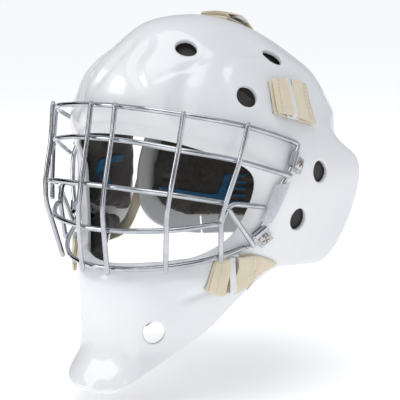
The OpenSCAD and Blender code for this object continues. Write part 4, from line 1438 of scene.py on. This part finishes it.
sweep = [([(-80, 4.5), (-60, -1), (-42, -5), (-35, -4)],
          [(-80, 3), (-60, -4.5), (-42, -10.5), (-30, -12.5)]),
         ([(-35.5, -4), (-32.5, 4), (-30.5, 11)], [(-29.5, -12.5), (-28.5, 0), (-27, 11)])]
sweep += [tuple([(b, z + half) for b in (-28.5, -22, -15.5)] for half in (0.9, -0.9))
          for z in (10, 4.5, -1, -6.5, -12)]
guard_bands = []
for side in (1, -1):
    for one, other in sweep:
        guard_bands.append(trim_band("back_foam", [(side * b, z) for b, z in one],
                                     [(side * b, z) for b, z in other], guard_side))
trim_piece("guard_trim", guard_bands, 1, GUARD, blue_mesh, "trim", "back_trim")
for word, side in SIDES:
    flip = np.array([side, 1, 1])

    def this_side(t, s, flip=flip):
        p, d = shell_side(t, s)
        return p * flip, d * flip
    bands = [trim_band("temple_foam_" + word, one, other, this_side) for one, other in (
        ([(5.02, 2.4), (5.02, 3.4), (5.1, 4.4)], [(5.24, 2.3), (5.24, 3.4), (5.3, 4.3)]),
        ([(5.2, 2.3), (5.6, 2.5), (6.05, 2.9)], [(5.24, 3.1), (5.62, 3.2), (6.08, 3.4)]))]
    trim_piece("temple_trim_strip_" + word, bands, 1, SHELL, blue_mesh, "trim", "temple_trim_" + word)

# %% Thread
thread = Finish("cream_thread", Roughness=0.85)
twist = thread.noise(2500.0, 1.0)
thread.set(Base_Color=thread.tint(twist.smooth(0.3, 0.7), (0.52, 0.44, 0.30), (0.68, 0.59, 0.43)))


def stitched(name, paths, body, finish, slot, length=2.2, thickness=0.5, gap=0.9):
    thing = grown(name, path_object(paths), STITCHES, length=length * MM, thickness=thickness * MM,
                  gap=gap * MM, finish=finish.material)
    return settle(thing, body, finish, slot)


def across_strap(strap, f, height, flip):
    places = strap_place(strap, [f], np.linspace(0.07, 0.93, 12))[0]
    return skin.over(places[:, 0], places[:, 1], np.full(12, height)) * flip


seams = []
for side in (1, -1):
    flip = np.array([side, 1, 1])
    for strap, bar, tail in ((UPPER_STRAP, UPPER_BAR, 1.0), (JAW_STRAP, JAW_BAR, 0.66)):
        seams += [across_strap(strap, tail - 0.06, 4.62, flip), across_strap(strap, tail - 0.10, 4.85, flip)]
        seams.append(across_strap(strap, 0.12, 6.25, flip))
seams.append(across_strap(TOP_STRAP, 0.88, 4.7, np.ones(3)))
stitched("webbing_stitches", seams, SHELL, thread, "elastic")
border = []
for z, reach in ((84, 44), (-22, 58)):
    b = np.linspace(-reach, reach, 60)
    level = np.full(60, float(z))
    border.append(laid_on("back_foam", *guard_side(b, level)) - guard_normal(b, level) * 0.1)
stitched("guard_pad_stitches", border, GUARD, thread, "foam", 3.0, 0.6, 1.5)

# %% [markdown]
# ## Floor and light
# The floor is plain and pale. Plating only looks like metal when it has something dark to
# mirror as well as something bright, so the soft boxes are large but do not close the
# room: the gaps between them draw the dark stripes along every wire.

# %% Floor, lights and world
floor_mesh = bpy.data.meshes.new("floor")
floor_mesh.from_pydata([(-30, -30, -0.145), (30, -30, -0.145), (30, 30, -0.145), (-30, 30, -0.145)], [],
                       [(0, 1, 2, 3)])
floor = bpy.data.objects.new("floor", floor_mesh)
bpy.context.scene.collection.objects.link(floor)
pale = Finish("pale_floor", Roughness=0.9)
pale.set(Base_Color=(0.93, 0.93, 0.94, 1), Emission_Color=(1, 1, 1, 1), Emission_Strength=0.44,
         Specular_IOR_Level=0.0)
floor_mesh.materials.append(pale.material)


def soft_box(name, place, aim, size, watts):
    light = bpy.data.lights.new(name, "AREA")
    light.shape, light.size, light.size_y, light.energy = "RECTANGLE", size[0], size[1], watts
    box = bpy.data.objects.new(name, light)
    bpy.context.scene.collection.objects.link(box)
    box.location = place
    box.rotation_euler = (Vector(aim) - Vector(place)).to_track_quat("-Z", "Y").to_euler()


soft_box("key", (-1.3, -1.7, 1.0), (0, 0, 0.03), (0.9, 1.1), 10)
soft_box("side", (2.0, -0.6, 0.8), (0, 0, 0.03), (0.5, 1.6), 0.8)
soft_box("top", (0.1, -0.3, 1.8), (0, 0, 0), (1.2, 1.6), 10)
soft_box("low front", (0.5, -2.0, 0.25), (0, 0, 0.05), (1.2, 0.6), 2)


def flag(name, corners):
    """A black card beside the set, for the plating to mirror."""
    card = bpy.data.meshes.new(name)
    card.from_pydata(corners, [], [(0, 1, 2, 3)])
    holder = bpy.data.objects.new(name, card)
    bpy.context.scene.collection.objects.link(holder)
    card.materials.append(black.material)


black = Finish("black_card", Roughness=0.9)
black.set(Base_Color=(0.01, 0.01, 0.01, 1), Specular_IOR_Level=0.0)
flag("flag left", [(-1.9, -1.3, -0.1), (-1.6, 0.4, -0.1), (-1.6, 0.4, 1.0), (-1.9, -1.3, 1.0)])
flag("flag right", [(1.5, -1.7, 0.15), (2.3, -0.9, 0.15), (2.3, -0.9, 1.2), (1.5, -1.7, 1.2)])
flag("flag front", [(-0.5, -2.6, 0.5), (0.35, -2.6, 0.5), (0.35, -2.6, 1.3), (-0.5, -2.6, 1.3)])
world = bpy.data.worlds.new("room")
bpy.context.scene.world = world
world.use_nodes = True
world.node_tree.nodes["Background"].inputs[0].default_value = (0.93, 0.95, 1.0, 1)
world.node_tree.nodes["Background"].inputs[1].default_value = 0.57
bpy.context.scene.view_settings.view_transform = "Standard"
print("lights ready")
